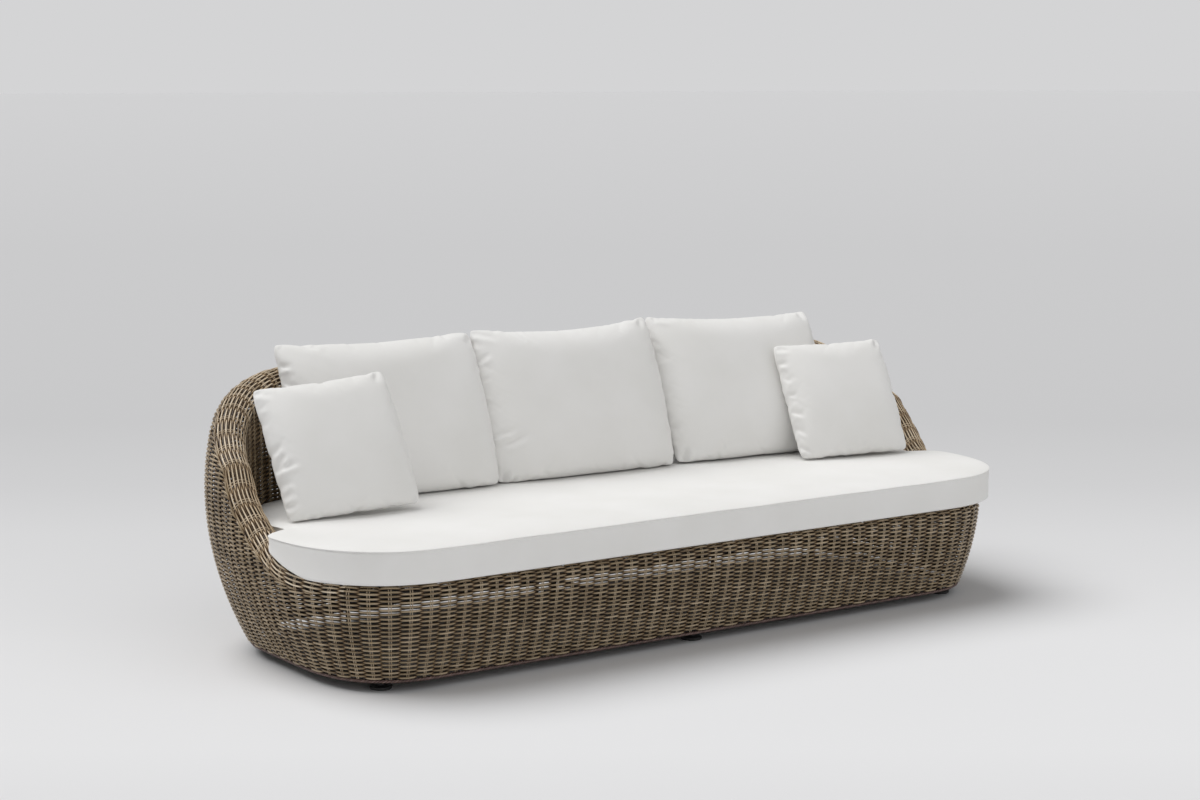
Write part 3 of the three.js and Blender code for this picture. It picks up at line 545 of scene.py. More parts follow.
def mesh_piece(name, points, faces_of, uv=None, values=None, smooth=True):
    """Object from an array of points, a list of face arrays, one for each number of corners, and point values."""
    mesh = bpy.data.meshes.new(name)
    corners = np.concatenate([faces.ravel() for faces in faces_of]).astype(np.int32)
    totals = np.concatenate([np.full(len(faces), faces.shape[1]) for faces in faces_of]).astype(np.int32)
    starts = np.concatenate([[0], np.cumsum(totals)[:-1]]).astype(np.int32)
    mesh.vertices.add(len(points))
    mesh.vertices.foreach_set("co", np.ascontiguousarray(points, np.float32).ravel())
    mesh.loops.add(len(corners))
    mesh.loops.foreach_set("vertex_index", corners)
    mesh.polygons.add(len(totals))
    mesh.polygons.foreach_set("loop_start", starts)
    mesh.polygons.foreach_set("loop_total", totals)
    mesh.update(calc_edges=True)
    mesh.validate()
    if uv is not None:
        mesh.uv_layers.new(name="UVMap").data.foreach_set("uv", np.ascontiguousarray(uv, np.float32).ravel())
    for key, value in (values or {}).items():
        attribute = mesh.attributes.new(key, "FLOAT", "POINT")
        attribute.data.foreach_set("value", np.ascontiguousarray(value, np.float32))
    if smooth:
        mesh.shade_smooth()
    else:
        mesh.shade_flat()
    piece = bpy.data.objects.new(name, mesh)
    bpy.context.scene.collection.objects.link(piece)
    return piece


def grid_faces(rows, columns, wrap):
    """Quads of a grid of points; wrap joins the last column to the first."""
    r, c = np.meshgrid(np.arange(rows - 1), np.arange(columns if wrap else columns - 1), indexing="ij")
    near, far, after = r * columns, (r + 1) * columns, (c + 1) % columns
    return np.stack([near + c, near + after, far + after, far + c], -1).reshape(-1, 4)


def samples(low, high, step):
    """Even places from low to high, both included, about a step apart."""
    return np.linspace(low, high, max(3, int(round((high - low) / step)) + 1))


def tube(points, normals, radius, sides):
    """One round tube along a path: rings of points at even angles round it, from the surface normal.
    Gives ring points, how far each lies outward of the path, quads, end caps, and corner UVs of length and turn."""
    along = np.gradient(points, axis=0)
    along /= np.linalg.norm(along, axis=1)[:, None]
    outward = normals - along * np.sum(normals * along, axis=1)[:, None]
    outward /= np.linalg.norm(outward, axis=1)[:, None]
    aside = np.cross(along, outward)
    angle = (np.arange(sides) + 0.5) * 2 * np.pi / sides
    ring = np.cos(angle)[None, :, None] * outward[:, None] + np.sin(angle)[None, :, None] * aside[:, None]
    rings = points[:, None] + radius * ring
    caps = np.stack([np.arange(sides)[::-1], (len(points) - 1) * sides + np.arange(sides)])
    length = np.concatenate([[0], np.cumsum(np.linalg.norm(np.diff(points, axis=0), axis=1))])
    near, far = np.repeat(length[:-1], sides), np.repeat(length[1:], sides)
    turn, next_turn = (np.tile((np.arange(sides) + more) / sides, len(points) - 1) for more in (0, 1))
    uv = np.stack([near, turn, near, next_turn, far, next_turn, far, turn], -1).reshape(-1, 2)
    proud = np.broadcast_to(radius * np.cos(angle), rings.shape[:2])
    return rings.reshape(-1, 3), proud, grid_faces(len(points), sides, True), caps, uv


def tube_piece(name, paths, radius, sides):
    """One piece of many tubes: paths is a list of (points, normals, distance outward, tone from 0 to 1). The
    attribute "outward" is how far a point stands out of the weave's middle surface, in strand diameters."""
    points, quads, caps, uvs, tones, outwards = [], [], [], [], [], []
    count = 0
    for path, normals, lift, tone in paths:
        ring_points, proud, ring_quads, ring_caps, uv = tube(path, normals, radius, sides)
        points.append(ring_points)
        quads.append(ring_quads + count)
        caps.append(ring_caps + count)
        uvs.append(uv)
        tones.append(np.full(len(ring_points), tone))
        # Painted shade: the resin is drawn darker where this value is low, deep in the weave.
        outwards.append(((lift[:, None] + proud) / (2 * radius)).ravel())
        count += len(ring_points)
    uv = np.concatenate([*uvs, np.zeros((len(caps) * 2 * sides, 2))])
    values = {"tone": np.concatenate(tones), "outward": np.concatenate(outwards)}
    return mesh_piece(name, np.concatenate(points), [np.concatenate(quads), np.concatenate(caps)], uv, values)


def row_draws(family, row):
    """Random numbers of one strand, the same in every panel that it passes through."""
    return np.random.default_rng([family, row])


def wander(s, draws):
    """Small slow drift along the path: three sines of random phase that close round the loop."""
    phases = draws.random(3) * 2 * np.pi
    waves = np.array(WANDER_WAVES) * 2 * np.pi / LOOP_LENGTH
    return STRAND_WANDER * np.sin(s[:, None] * waves + phases).mean(axis=1)


def weave_swing(s, row, size=WEAVE_SWING, fullness=SWING_FULLNESS, lag=0):
    """How far a strand stands off the middle surface: a cosine that passes out over every other stake, made
    fuller so that the strand crosses between stakes quickly: sign of the cosine times its size to a power. With a
    lag, a share of the stakes' distance, it dives in soon after the stake, the same way on both arms."""
    wave = np.cos(np.pi * (stakes_before(s) + row - lag * np.sin(2 * np.pi * s / LOOP_LENGTH)))
    return size * np.sign(wave) * np.abs(wave) ** fullness


def strand(s, u, row, draws, on_roll=0):
    """Strand on the skin, at section length u, that swings over and under the stakes. On the roll it swings less."""
    points, normals = skin(s, u + wander(s, draws))
    size, fullness = mix(WEAVE_SWING, RIM_SWING, on_roll), mix(SWING_FULLNESS, RIM_FULLNESS, on_roll)
    return points, normals, weave_swing(s, row, size, fullness, RIM_LAG * on_roll)


def in_panel(low, high, start, end):
    """Overlap of a strand's range with a panel, both as foot arc lengths, or None."""
    a, b = max(low, start), min(high, end)
    return (a, b) if b - a > 2 * STRAND_STEP else None


def wall_rows():
    """Section length of each row of the wall, and the range of foot arc on which it lies below the rim's strands.
    The border rises from the front centre to the back centre, so a row that meets it lies round the back. The
    pitch is the one nearest to the strands' that fills the front."""
    s = np.linspace(0, LOOP_LENGTH / 2, CURVE_SAMPLES)
    limit = np.maximum.accumulate(border(at_foot(s)[4]))
    pitch = limit[0] / FRONT_ROWS
    rows = []
    for row in range(int(limit[-1] / pitch)):
        u = (row + 0.5) * pitch
        start = 0 if u < limit[0] else float(np.interp(u, limit, s))
        rows.append((row, u, start, LOOP_LENGTH - start))
    return rows


def panel_arcs(panel):
    """Foot arc lengths of a panel's two edges."""
    low, high = PANELS[panel]
    return float(arc_at(low)), float(arc_at(high))


def strand_samples(low, high):
    """Places along a strand at even steps of the stake count, so that every wave has the same steps."""
    dense = samples(low, high, FINE_STEP)
    count = stakes_before(dense)
    steps = max(3, int(round((high - low) / STRAND_STEP)) + 1)
    return np.interp(np.linspace(count[0], count[-1], steps), count, dense)


def make_wall(panel):
    """Level rows of strands up the wall of one panel. A row that meets the rim turns along it, and its end is
    tucked in under the rows below."""
    start, end = panel_arcs(panel)
    paths = []
    for row, u, low, high in wall_rows():
        tail = TUCK_LENGTH if low > 0 else 0
        for shift in (0, -LOOP_LENGTH):
            part = in_panel(low - tail + shift, high + tail + shift, start, end)
            if part:
                draws = row_draws(WALL_FAMILY, row)
                s = strand_samples(*part)
                edge = border(at_foot(s)[4]) - ROW_END_INSET
                points, normals, lift = strand(s, np.minimum(u, edge) if tail else u + 0 * s, row, draws)
                if tail:
                    beyond = np.maximum(low + shift - s, s - high - shift)
                    lift = lift - TUCK * smoothstep(0, 1, beyond / tail)
                paths.append((points + normals * lift[:, None], normals, lift, draws.random()))
    return tube_piece("wall_strands_" + panel, paths, STRAND_RADIUS, STRAND_SIDES)


def runs_of(holds):
    """First and last places of each unbroken run of true values."""
    edges = np.flatnonzero(np.diff(np.concatenate([[0], holds.astype(int), [0]])))
    return list(zip(edges[::2], edges[1::2] - 1))


def make_rim(panel):
    """Strands that run along the rim and over its roll, counted from the wall's border. Where the roll is small,
    the inner ones end under the cushion."""
    start, end = panel_arcs(panel)
    dense = samples(start, end, RIM_STEP)
    station = at_foot(dense)[4]
    room = (skin_length(station) - border(station)) / rim_pitch(station)
    paths = []
    for row in range(RIM_STRANDS):
        for first, last in runs_of(row + RIM_ROOM < room):
            if last > first + RIM_SHORTEST:
                draws = row_draws(RIM_FAMILY, row)
                s = strand_samples(dense[first], dense[last])
                station = at_foot(s)[4]
                u = border(station) + (row + 0.5) * rim_pitch(station)
                on_roll = np.minimum(1, roll_share(station) / FULL_TURN_SHARE)
                points, normals, lift = strand(s, u, row + FRONT_ROWS, draws, on_roll)
                shaded = lift * mix(1, RIM_SHADE, on_roll) + RIM_SHADE_LIFT * on_roll
                paths.append((points + normals * lift[:, None], normals, shaded, draws.random()))
    radius = STRAND_RADIUS if panel == "front" else RIM_RADIUS
    return tube_piece("rim_strands_" + panel, paths, radius, STRAND_SIDES)


def make_lining(panel):
    """Strands of the lining, from the roll's inner side down to the deck, each a pitch below the one above, so that
    they run along the rim; each starts where the roll has risen high enough above the deck."""
    start, end = panel_arcs(panel)
    s = np.linspace(0, LOOP_LENGTH / 2, CURVE_SAMPLES)
    level = np.maximum.accumulate(roll_at(at_foot(s)[4])["level"])
    paths = []
    for row in range(int((level[-1] - SEAT_HEIGHT) / STRAND_PITCH)):
        drop = (row + 0.5) * STRAND_PITCH
        low = float(np.interp(SEAT_HEIGHT + drop, level, s))
        part = in_panel(low, LOOP_LENGTH - low, start, end)
        if part:
            places = strand_samples(*part)
            points, normals = lining(places, roll_at(at_foot(places)[4])["level"] - drop)
            lift = weave_swing(places, row, RIM_SWING)
            paths.append((points + normals * lift[:, None], normals, lift, row_draws(LINING_FAMILY, row).random()))
    return tube_piece("lining_strands_" + panel, paths, STRAND_RADIUS, STRAND_SIDES)


def make_stakes(panel):
    """Pairs of thin stakes from the foot up the wall, over the roll and down the lining."""
    start, end = panel_arcs(panel)
    counts = np.arange(np.ceil(stakes_before(start)), np.ceil(stakes_before(end)))
    dense = samples(start, end, FINE_STEP)
    middles = np.interp(counts, stakes_before(dense), dense)
    paths = []
    for middle in middles:
        station = at_foot(np.array([middle]))[4]
        length = float(skin_length(station)[0])
        roll = roll_at(station)
        level = float(roll["level"][0])
        for side in (-0.5, 0.5):
            u = samples(0, length, STAKE_STEP)
            s = middle + side * STAKE_APART + 0 * u
            points, normals = skin(s, u)
            if level > SEAT_HEIGHT + 2 * STAKE_STEP:
                heights = samples(level - STAKE_STEP, SEAT_HEIGHT, STAKE_STEP)
                more, facing = lining(middle + side * STAKE_APART + 0 * heights, heights)
                points, normals = np.concatenate([points, more]), np.concatenate([normals, facing])
            paths.append((points + normals * STAKE_LIFT, normals, STAKE_LIFT + 0 * points[:, 0], 0.5))
    return tube_piece("stakes_" + panel, paths, STAKE_RADIUS, STAKE_SIDES)


def make_braid():
    """Border of three strands twisted round each other: a helix about the line of the braid."""
    turns = round(LOOP_LENGTH / BRAID_LAY)
    s = samples(0, LOOP_LENGTH, BRAID_LAY / BRAID_STEPS_A_LAY)
    x, y, nx, ny, _ = at_foot(s)
    out = BRAID_PROUD - BRAID_RADIUS
    middle = np.stack([x + nx * out, y + ny * out, 0 * x + FOOT_CLEARANCE + BRAID_RADIUS], -1)
    outward = np.stack([nx, ny, 0 * nx], -1)
    paths = []
    for index in range(BRAID_STRANDS):
        angle = 2 * np.pi * (turns * s / LOOP_LENGTH + index / BRAID_STRANDS)
        offset = np.cos(angle)[:, None] * outward + np.sin(angle)[:, None] * UP
        lift = BRAID_HELIX * np.cos(angle)
        paths.append((middle + BRAID_HELIX * offset, outward, lift, (index + 0.5) / BRAID_STRANDS))
    return tube_piece("foot_braid", paths, BRAID_STRAND_RADIUS, STRAND_SIDES)


def inside_seat(x):
    """Front and back edges of the deck at a place along the sofa, just inside the rim's inner ends."""
    s = np.linspace(0, LOOP_LENGTH, DECK_OUTLINE_SAMPLES)
    fx, fy, nx, ny, station = at_foot(s)
    roll = roll_at(station)
    reach = roll["out"] - roll["radius"]
    px, py = fx + nx * reach, fy + ny * reach
    middle = (node_box["seat_deck"][0].y + node_box["seat_deck"][1].y) / 2
    front, back = py < middle, py >= middle
    order_front, order_back = np.argsort(px[front]), np.argsort(px[back])
    low = np.interp(x, px[front][order_front], py[front][order_front])
    high = np.interp(x, px[back][order_back], py[back][order_back])
    return low, high


def band(path, across, width, thickness):
    """Flat band along a path: a rectangle of width and thickness moved along it."""
    half = across[None] * width / 2
    lift = UP[None] * thickness / 2
    return np.stack([path + half + lift, path - half + lift, path - half - lift, path + half - lift], 1)


def make_deck():
    """Flat woven panel under the cushion: bands along and across that pass over and under each other, each a cosine
    of its length."""
    low, high = node_box["seat_deck"]
    middle = (low.z + high.z) / 2
    xs = np.arange(low.x + BAND_PITCH, high.x - BAND_PITCH / 2, BAND_PITCH)
    ys = np.arange(low.y + BAND_PITCH, high.y - BAND_PITCH / 2, BAND_PITCH)
    runs = []
    for number, x in enumerate(xs):
        front, back = inside_seat(x)
        if back - front > 2 * BAND_PITCH:
            y = samples(front, back, BAND_PITCH / 2)
            phase = np.pi * ((y - ys[0]) / BAND_PITCH + number)
            path = np.stack([x + 0 * y, y, middle + BAND_SWING * np.cos(phase)], -1)
            runs.append((path, np.array([-1.0, 0, 0])))
    wide = np.linspace(low.x, high.x, DECK_EDGE_SAMPLES)
    edges = np.array([inside_seat(x) for x in wide])
    for number, y in enumerate(ys):
        holds = wide[(edges[:, 0] < y - BAND_WIDTH / 2) & (edges[:, 1] > y + BAND_WIDTH / 2)]
        x = samples(holds[0], holds[-1], BAND_PITCH / 2)
        phase = np.pi * ((x - xs[0]) / BAND_PITCH + number + 1)
        path = np.stack([x, y + 0 * x, middle + BAND_SWING * np.cos(phase)], -1)
        runs.append((path, np.array([0, 1.0, 0])))
    rings, quads, caps = [], [], []
    count = 0
    for path, across in runs:
        rings.append(band(path, across, BAND_WIDTH, BAND_THICKNESS).reshape(-1, 3))
        quads.append(grid_faces(len(path), 4, True) + count)
        caps.append(np.array([[3, 2, 1, 0], (len(path) - 1) * 4 + np.arange(4)]) + count)
        count += len(path) * 4
    points = np.concatenate(rings)
    values = {"tone": np.full(len(points), 0.5), "outward": np.ones(len(points))}
    return mesh_piece("deck_bands", points, [np.concatenate([*quads, *caps])], values=values, smooth=False)


# Cushions

def folds(x, y, seed, size, waves):
    """Soft unevenness: a sum of sines in random directions, about size high, with the given wave lengths."""
    draws = np.random.default_rng(seed)
    total = 0 * x
    for length in waves:
        angle, phase = draws.random(2) * 2 * np.pi
        total = total + np.sin((x * np.cos(angle) + y * np.sin(angle)) * 2 * np.pi / length + phase)
    return size * total / len(waves)


def make_seat_cushion():
    """Boxed cushion: rings of its section, from the middle of the underside, round the rim's roll, up the side to
    the top seam, and over the crown to the middle line. The side draws in between its seams; the top is slightly
    uneven."""
    s = np.linspace(0, LOOP_LENGTH, SEAT_COLUMNS, endpoint=False)
    x, y, nx, ny, station = at_foot(s)
    roll = roll_at(station)
    inside = roll["out"] - roll["radius"] - SOFT_GAP
    reach = mix(SEAT_OVERHANG, inside, smoothstep(CUSHION_LEAVES_RIM, CUSHION_INSIDE_RIM, station))
    clear = roll["radius"] + SOFT_GAP
    stop = np.arccos(np.clip((reach - roll["out"]) / clear, -1, 0))
    edge = roll["level"] + clear * np.sin(stop)
    low = np.clip(edge, SEAT_BOTTOM + SEAT_LEAST_ROUNDING, SEAT_SEAM - SEAT_ROUNDING)
    middle_x = np.clip(x, -SEAT_MIDDLE_LINE, SEAT_MIDDLE_LINE)
    middle_y = (node_box["seat_cushion"][0].y + node_box["seat_cushion"][1].y) / 2
    rings = []

    def ring(out, z, share=0.0):
        """Ring at a distance out of the foot's outline, and by a share of the way in to the middle line."""
        px, py = x + nx * out, y + ny * out
        rings.append(np.stack([mix(px, middle_x, share), mix(py, middle_y, share), z + 0 * x], -1))

    for share in (1, 0.6, 0.25):
        ring(roll["out"] - clear - SEAT_FLAT_INSET, SEAT_BOTTOM, share)
    ring(roll["out"] - clear, SEAT_BOTTOM)
    for share in (0, 1 / 3, 2 / 3, 1):
        angle = mix(np.pi, stop, share)
        height = np.clip(roll["level"] + clear * np.sin(angle), SEAT_BOTTOM + (1 + share) * MM, low)
        ring(roll["out"] + clear * np.cos(angle), height)
    for share, out in SEAT_SIDE:
        ring(reach + out * MM, low + (SEAT_SEAM - low) * share)
    below_seam = len(rings)
    ring(reach + SEAT_SEAM_PROUD, SEAT_SEAM - SEAT_SEAM_DROP)
    for inward, rise in SEAT_CROWN_RISE:
        ring(reach - inward * MM, SEAT_SEAM + rise * MM)
    for share in (0.15, 0.35, 0.6, 0.85, 1):
        ring(reach - SEAT_CROWN_INSET, SEAT_TOP, share)
    points = np.stack(rings)
    top = points[below_seam:]
    top[..., 2] += folds(top[..., 0], top[..., 1], SEAT_UNEVEN_SEED, SEAT_UNEVEN, SEAT_UNEVEN_WAVES) - SEAT_SETTLED
    faces = grid_faces(len(rings), SEAT_COLUMNS, True)
    piece = mesh_piece("seat_cushion_cover", points.reshape(-1, 3), [faces])
    weld(piece)
    add_subdivision(piece)
    return piece


def weld(piece):
    """Joins points that lie on each other, and faces the skin outwards."""
    shape = bmesh.new()
    shape.from_mesh(piece.data)
    bmesh.ops.remove_doubles(shape, verts=shape.verts, dist=0.2 * MM)
    bmesh.ops.recalc_face_normals(shape, faces=shape.faces)
    shape.to_mesh(piece.data)
    shape.free()


def add_subdivision(piece):
    """One level of subdivision, the same in the view and in the render."""
    modifier = piece.modifiers.new("finish", "SUBSURF")
    modifier.levels = 1
    modifier.render_levels = 1


def open_share(a, b):
    """How free the cover is at a place: 1 in its middle, 0 on its edge, (1 - a squared)(1 - b squared)."""
    return np.clip((1 - a ** 2) * (1 - b ** 2), 0, 1)


def flat_cover(width, tall, seed):
    """Two equal sheets joined round the edge, a few millimetres apart: a grid over a square whose corners are
    rounded, thin as a lens. Each corner's square goes to a quarter disc: p times the root of 1 - q squared / 2.
    Gives points, faces, places in the unit square, and the layer: -1 in front, 0 on the edge, 1 behind."""
    columns = int(width / COVER_STEP) + 1
    rows = int(tall / COVER_STEP) + 1
    a, b = np.meshgrid(np.linspace(-1, 1, columns), np.linspace(-1, 1, rows))
    free = open_share(a, b)
    lens = COVER_LENS * free ** 0.5
    uneven = folds(a * width / 2, b * tall / 2, seed, COVER_UNEVEN, COVER_UNEVEN_WAVES) * free
    flat_x, flat_z = width / 2 - EAR_RADIUS, tall / 2 - EAR_RADIUS
    p = np.maximum(np.abs(a) * width / 2 - flat_x, 0) / EAR_RADIUS
    q = np.maximum(np.abs(b) * tall / 2 - flat_z, 0) / EAR_RADIUS
    corner = (p > 0) & (q > 0)
    x = np.sign(a) * np.where(corner, flat_x + EAR_RADIUS * p * np.sqrt(1 - q ** 2 / 2), np.abs(a) * width / 2)
    z = np.sign(b) * np.where(corner, flat_z + EAR_RADIUS * q * np.sqrt(1 - p ** 2 / 2), np.abs(b) * tall / 2)
    inner = (free > 1e-9).ravel()
    front = np.stack([x, uneven - lens, z], -1).reshape(-1, 3)
    back = np.stack([x, uneven + lens, z], -1).reshape(-1, 3)
    back_number = np.where(inner, len(front) + np.cumsum(inner) - 1, np.arange(len(front)))
    faces = grid_faces(rows, columns, False)
    places = np.stack([np.concatenate([v.ravel(), v.ravel()[inner]]) for v in (a, b)])
    layer = np.concatenate([np.where(inner, -1, 0), np.ones(inner.sum())])
    return np.concatenate([front, back[inner]]), np.concatenate([faces, back_number[faces][:, ::-1]]), places, layer


def inflate(piece, flat, places, layer, thick):
    """Cover swelled by air pressure as cloth, stepped until it is as thick as the cushion, and mixed with a plain
    swell that keeps the corners flat: half the thickness times the open share to a power."""
    plain = flat.copy()
    plain[:, 1] += layer * thick / 2 * open_share(*places) ** SWELL_POWER
    modifier = piece.modifiers.new("cloth", "CLOTH")
    for key, value in CLOTH.items():
        setattr(modifier.settings, key, value)
    modifier.settings.effector_weights.gravity = 0
    modifier.point_cache.frame_start = 1
    modifier.point_cache.frame_end = CLOTH_STEPS
    scene = bpy.context.scene
    for step in range(1, CLOTH_STEPS):
        scene.frame_set(step)
        shape = piece.evaluated_get(bpy.context.evaluated_depsgraph_get())
        co = np.zeros(len(flat) * 3, np.float32)
        shape.data.vertices.foreach_get("co", co)
        swollen = co.reshape(-1, 3).astype(float)
        if np.ptp(swollen[:, 1]) >= thick:
            break
    piece.modifiers.clear()
    scene.frame_set(1)
    swollen -= swollen.mean(axis=0) - plain.mean(axis=0)
    return mix(plain, swollen, CLOTH_SHARE)


def redraw_edges(swollen, places, half, drawn):
    """Evens out how far each edge has been drawn in, by a smooth fit along it, so that only its puckers stay, then
    draws its middle in by the given distance: that distance times 1 - place squared."""
    edges = ((1, 1, 2), (0, 1, 0), (1, -1, 2), (0, -1, 0))
    shaped = swollen.copy()
    for (across, sign, axis), draw in zip(edges, drawn):
        at_edge, along = places[across] * sign, places[1 - across]
        on_edge = (at_edge > 1 - 1e-6) & (np.abs(along) < EDGE_FITTED)
        drawn_in = half[across] - sign * swollen[on_edge, axis]
        fit = np.polyfit(along[on_edge], drawn_in, EDGE_DEGREE)
        change = np.polyval(fit, np.clip(along, -EDGE_HELD, EDGE_HELD)) - draw * MM * (1 - along ** 2)
        shaped[:, axis] += sign * change * smoothstep(-1, 1, at_edge)
    return shaped


def crease_height(x, z, start, end, width, depth):
    """Valley along a line with a lower ridge beside it, fading towards the line's ends: two Gaussians."""
    along = end - start
    length = np.hypot(*along)
    t = ((x - start[0]) * along[0] + (z - start[1]) * along[1]) / length ** 2
    off = ((x - start[0]) * along[1] - (z - start[1]) * along[0]) / length / width
    fade = smoothstep(*CREASE_FADES_IN, t) * (1 - smoothstep(*CREASE_FADES_OUT, t))
    return depth * fade * (RIDGE_SHARE * np.exp(-(off - RIDGE_ASIDE) ** 2) - np.exp(-off ** 2))


def wrinkles(places, half, facts, layer):
    """Height of the cover's creases: the given ones on the front, and small puckers across the seam all round."""
    x, z = places[0] * half[0], places[1] * half[1]
    total = 0 * x
    for *ends, width, depth in facts["creases"]:
        start, end = np.array(ends[:2]) * half, np.array(ends[2:]) * half
        total += np.where(layer < 0, crease_height(x, z, start, end, width * MM, CREASE_GAIN * depth * MM), 0)
    for side in (-1, 1):
        draws = np.random.default_rng([facts["seed"], side + 1])
        for place, slant, length, depth in draws.random((PUCKERS, 4)):
            along = (place * 4 % 1 * 2 - 1) * PUCKER_SPAN
            at_edge = np.array(((along, 1), (1, along), (along, -1), (-1, along))[int(place * 4)])
            inward = -at_edge * (np.abs(at_edge) == 1)
            start = at_edge * half
            end = start + mix(*PUCKER_LENGTHS, length) * (inward + (slant - 0.5) * inward[::-1])
            height = crease_height(x, z, start, end, PUCKER_WIDTH, mix(*PUCKER_DEPTHS, depth))
            total += np.where(layer == side, height, 0)
    return total


def make_loose_cushion(name, facts):
    """Swelled cover set in the photograph's pose: its square goes to the four corners, its thickness along the
    normal of their plane, which turns level towards the lower edge so that the belly rests on the seat."""
    upper_left, upper_right, lower_right, lower_left = np.array(facts["corners"])
    half = np.array([np.linalg.norm(upper_right - upper_left), np.linalg.norm(upper_left - lower_left)]) / 2
    flat, faces, places, layer = flat_cover(*(2 * COVER_CUT * half), facts["seed"])
    piece = mesh_piece(name + "_cover", flat, [faces])
    swollen = inflate(piece, flat, places, layer, facts["thick"])
    shaped = redraw_edges(swollen, places, half, facts["drawn"])
    thickness = shaped[:, 1] - shaped[:, 1].mean()
    thickness *= facts["thick"] / np.ptp(thickness)
    off_seam = smoothstep(0, SEAM_SHARE, 1 - np.abs(places).max(axis=0))
    thickness += layer * off_seam * wrinkles(places, half, facts, layer)
    right, top = (shaped[:, 0] / half[0] + 1) / 2, (shaped[:, 2] / half[1] + 1) / 2
    upper = mix(upper_left[None], upper_right[None], right[:, None])
    lower = mix(lower_left[None], lower_right[None], right[:, None])
    across = upper_right - upper_left + lower_right - lower_left
    upward = upper_left - lower_left + upper_right - lower_right
    normal = -np.cross(across, upward)
    normal /= np.linalg.norm(normal)
    level = np.array([normal[0], normal[1], 0]) / np.hypot(normal[0], normal[1])
    facing = mix(level[None], normal[None], smoothstep(0, LOWER_EDGE, top)[:, None])
    points = mix(lower, upper, top[:, None]) + thickness[:, None] * facing
    points[:, 2] = np.maximum(points[:, 2], SEAT_TOP + RESTING_GAP)
    piece.data.vertices.foreach_set("co", np.ascontiguousarray(points, np.float32).ravel())
    piece.data.update()
    add_subdivision(piece)
    return piece


# Materials

def linear(text):
    """sRGB hex colour as linear red, green, blue and alpha."""
    values = np.array([int(text[i:i + 2], 16) for i in (1, 3, 5)]) / 255
    low, high = values / 12.92, ((values + 0.055) / 1.055) ** 2.4
    return (*np.where(values <= 0.04045, low, high), 1.0)


def set_stops(elements, stops):
    """Puts (place, hex colour) stops into a colour ramp, whose two elements become the first and the last."""
    elements[0].position, elements[0].color = stops[0][0], linear(stops[0][1])
    elements[1].position, elements[1].color = stops[-1][0], linear(stops[-1][1])
    for place, colour in stops[1:-1]:
        elements.new(place).color = linear(colour)


def add_node(tree, kind, settings=None, links=None):
    """A shader node with its settings, by attribute, input name or input number, or "stops" for a colour ramp, and
    its links, each from another node's output. Gives its outputs."""
    node = tree.nodes.new("ShaderNode" + kind)
    for key, value in (settings or {}).items():
        if key == "stops":
            set_stops(node.color_ramp.elements, value)
        elif isinstance(key, str) and hasattr(node, key):
            setattr(node, key, value)
        else:
            node.inputs[key].default_value = value
    for key, source in (links or {}).items():
        tree.links.new(source, node.inputs[key])
    return node.outputs


def new_material(name):
    """Empty node material, its tree, and the coordinates in it."""
    material = bpy.data.materials.new(name)
    material.use_nodes = True
    material.node_tree.nodes.clear()
    return material, material.node_tree, add_node(material.node_tree, "TexCoord")


def finish_material(material, colour, height, strength, depth, surface):
    """Ends a material: bumps from a height, as strong and deep as given, on a plain shader with its settings."""
    tree = material.node_tree
    bump = add_node(tree, "Bump", {"Strength": strength, "Distance": depth}, {"Height": height})
    shader = add_node(tree, "BsdfPrincipled", surface, {"Base Color": colour, "Normal": bump["Normal"]})
    add_node(tree, "OutputMaterial", links={"Surface": shader[0]})
    return material


def extruded_resin(name, dark, middle, light, roughness):
    """Extruded polyethylene resin strand: satin, with fine ribs along its length, each strand a little lighter or
    darker, slow streaks of tone along it, and painted shade where it lies deep in the weave and on its inner side."""
    material, tree, where = new_material(name)
    tone = add_node(tree, "Attribute", {"attribute_name": "tone"})
    outward = add_node(tree, "Attribute", {"attribute_name": "outward"})
    streak = add_node(tree, "TexNoise", {"Scale": 14, "Detail": 3.0}, {"Vector": where["Object"]})
    tone_weight, tone_shift = 0.55, 0.28
    blend = add_node(tree, "Math", {"operation": "MULTIPLY_ADD", 1: tone_weight},
                     {0: tone["Fac"], 2: streak["Fac"]})
    shade = add_node(tree, "Math", {"operation": "SUBTRACT", 1: tone_shift}, {0: blend[0]})
    colour = add_node(tree, "ValToRGB", {"stops": ((0.15, dark), (0.5, middle), (0.85, light))},
                      {"Fac": shade[0]})
    # Painted shade: the colour is darkened by how deep the point lies in the weave.
    place = add_node(tree, "Math", {"operation": "MULTIPLY_ADD", 1: 0.5, 2: 0.5}, {0: outward["Fac"]})
    painted_shade = add_node(tree, "ValToRGB", {"stops": PAINTED_SHADE_STOPS}, {"Fac": place[0]})
    shaded_colour = add_node(tree, "Mix", {"data_type": "RGBA", "blend_type": "MULTIPLY", 0: 1.0},
                    {6: colour["Color"], 7: painted_shade["Color"]})
    ribs_along, ribs_round = 18.0, 5.0
    stretch = add_node(tree, "Mapping", {"Scale": (ribs_along, ribs_round, 1.0)}, {"Vector": where["UV"]})
    ribs = add_node(tree, "TexNoise", {"Scale": 3.0, "Detail": 2.0}, {"Vector": stretch[0]})
    return finish_material(material, shaded_colour[2], ribs["Fac"], 0.35, 0.4 * MM, {"Roughness": roughness, "IOR": 1.45})


def powder_coat(name, dark, light):
    """Aluminium tube under brown powder coat: satin with a fine orange peel of about a millimetre."""
    material, tree, where = new_material(name)
    peel = add_node(tree, "TexNoise", {"Scale": 1 / (1.2 * MM), "Detail": 2.0}, {"Vector": where["Object"]})
    cloud = add_node(tree, "TexNoise", {"Scale": 9.0, "Detail": 3.0}, {"Vector": where["Object"]})
    colour = add_node(tree, "ValToRGB", {"stops": ((0.3, dark), (0.7, light))}, {"Fac": cloud["Fac"]})
    return finish_material(material, colour["Color"], peel["Fac"], 0.25, 0.2 * MM, {"Roughness": 0.45})


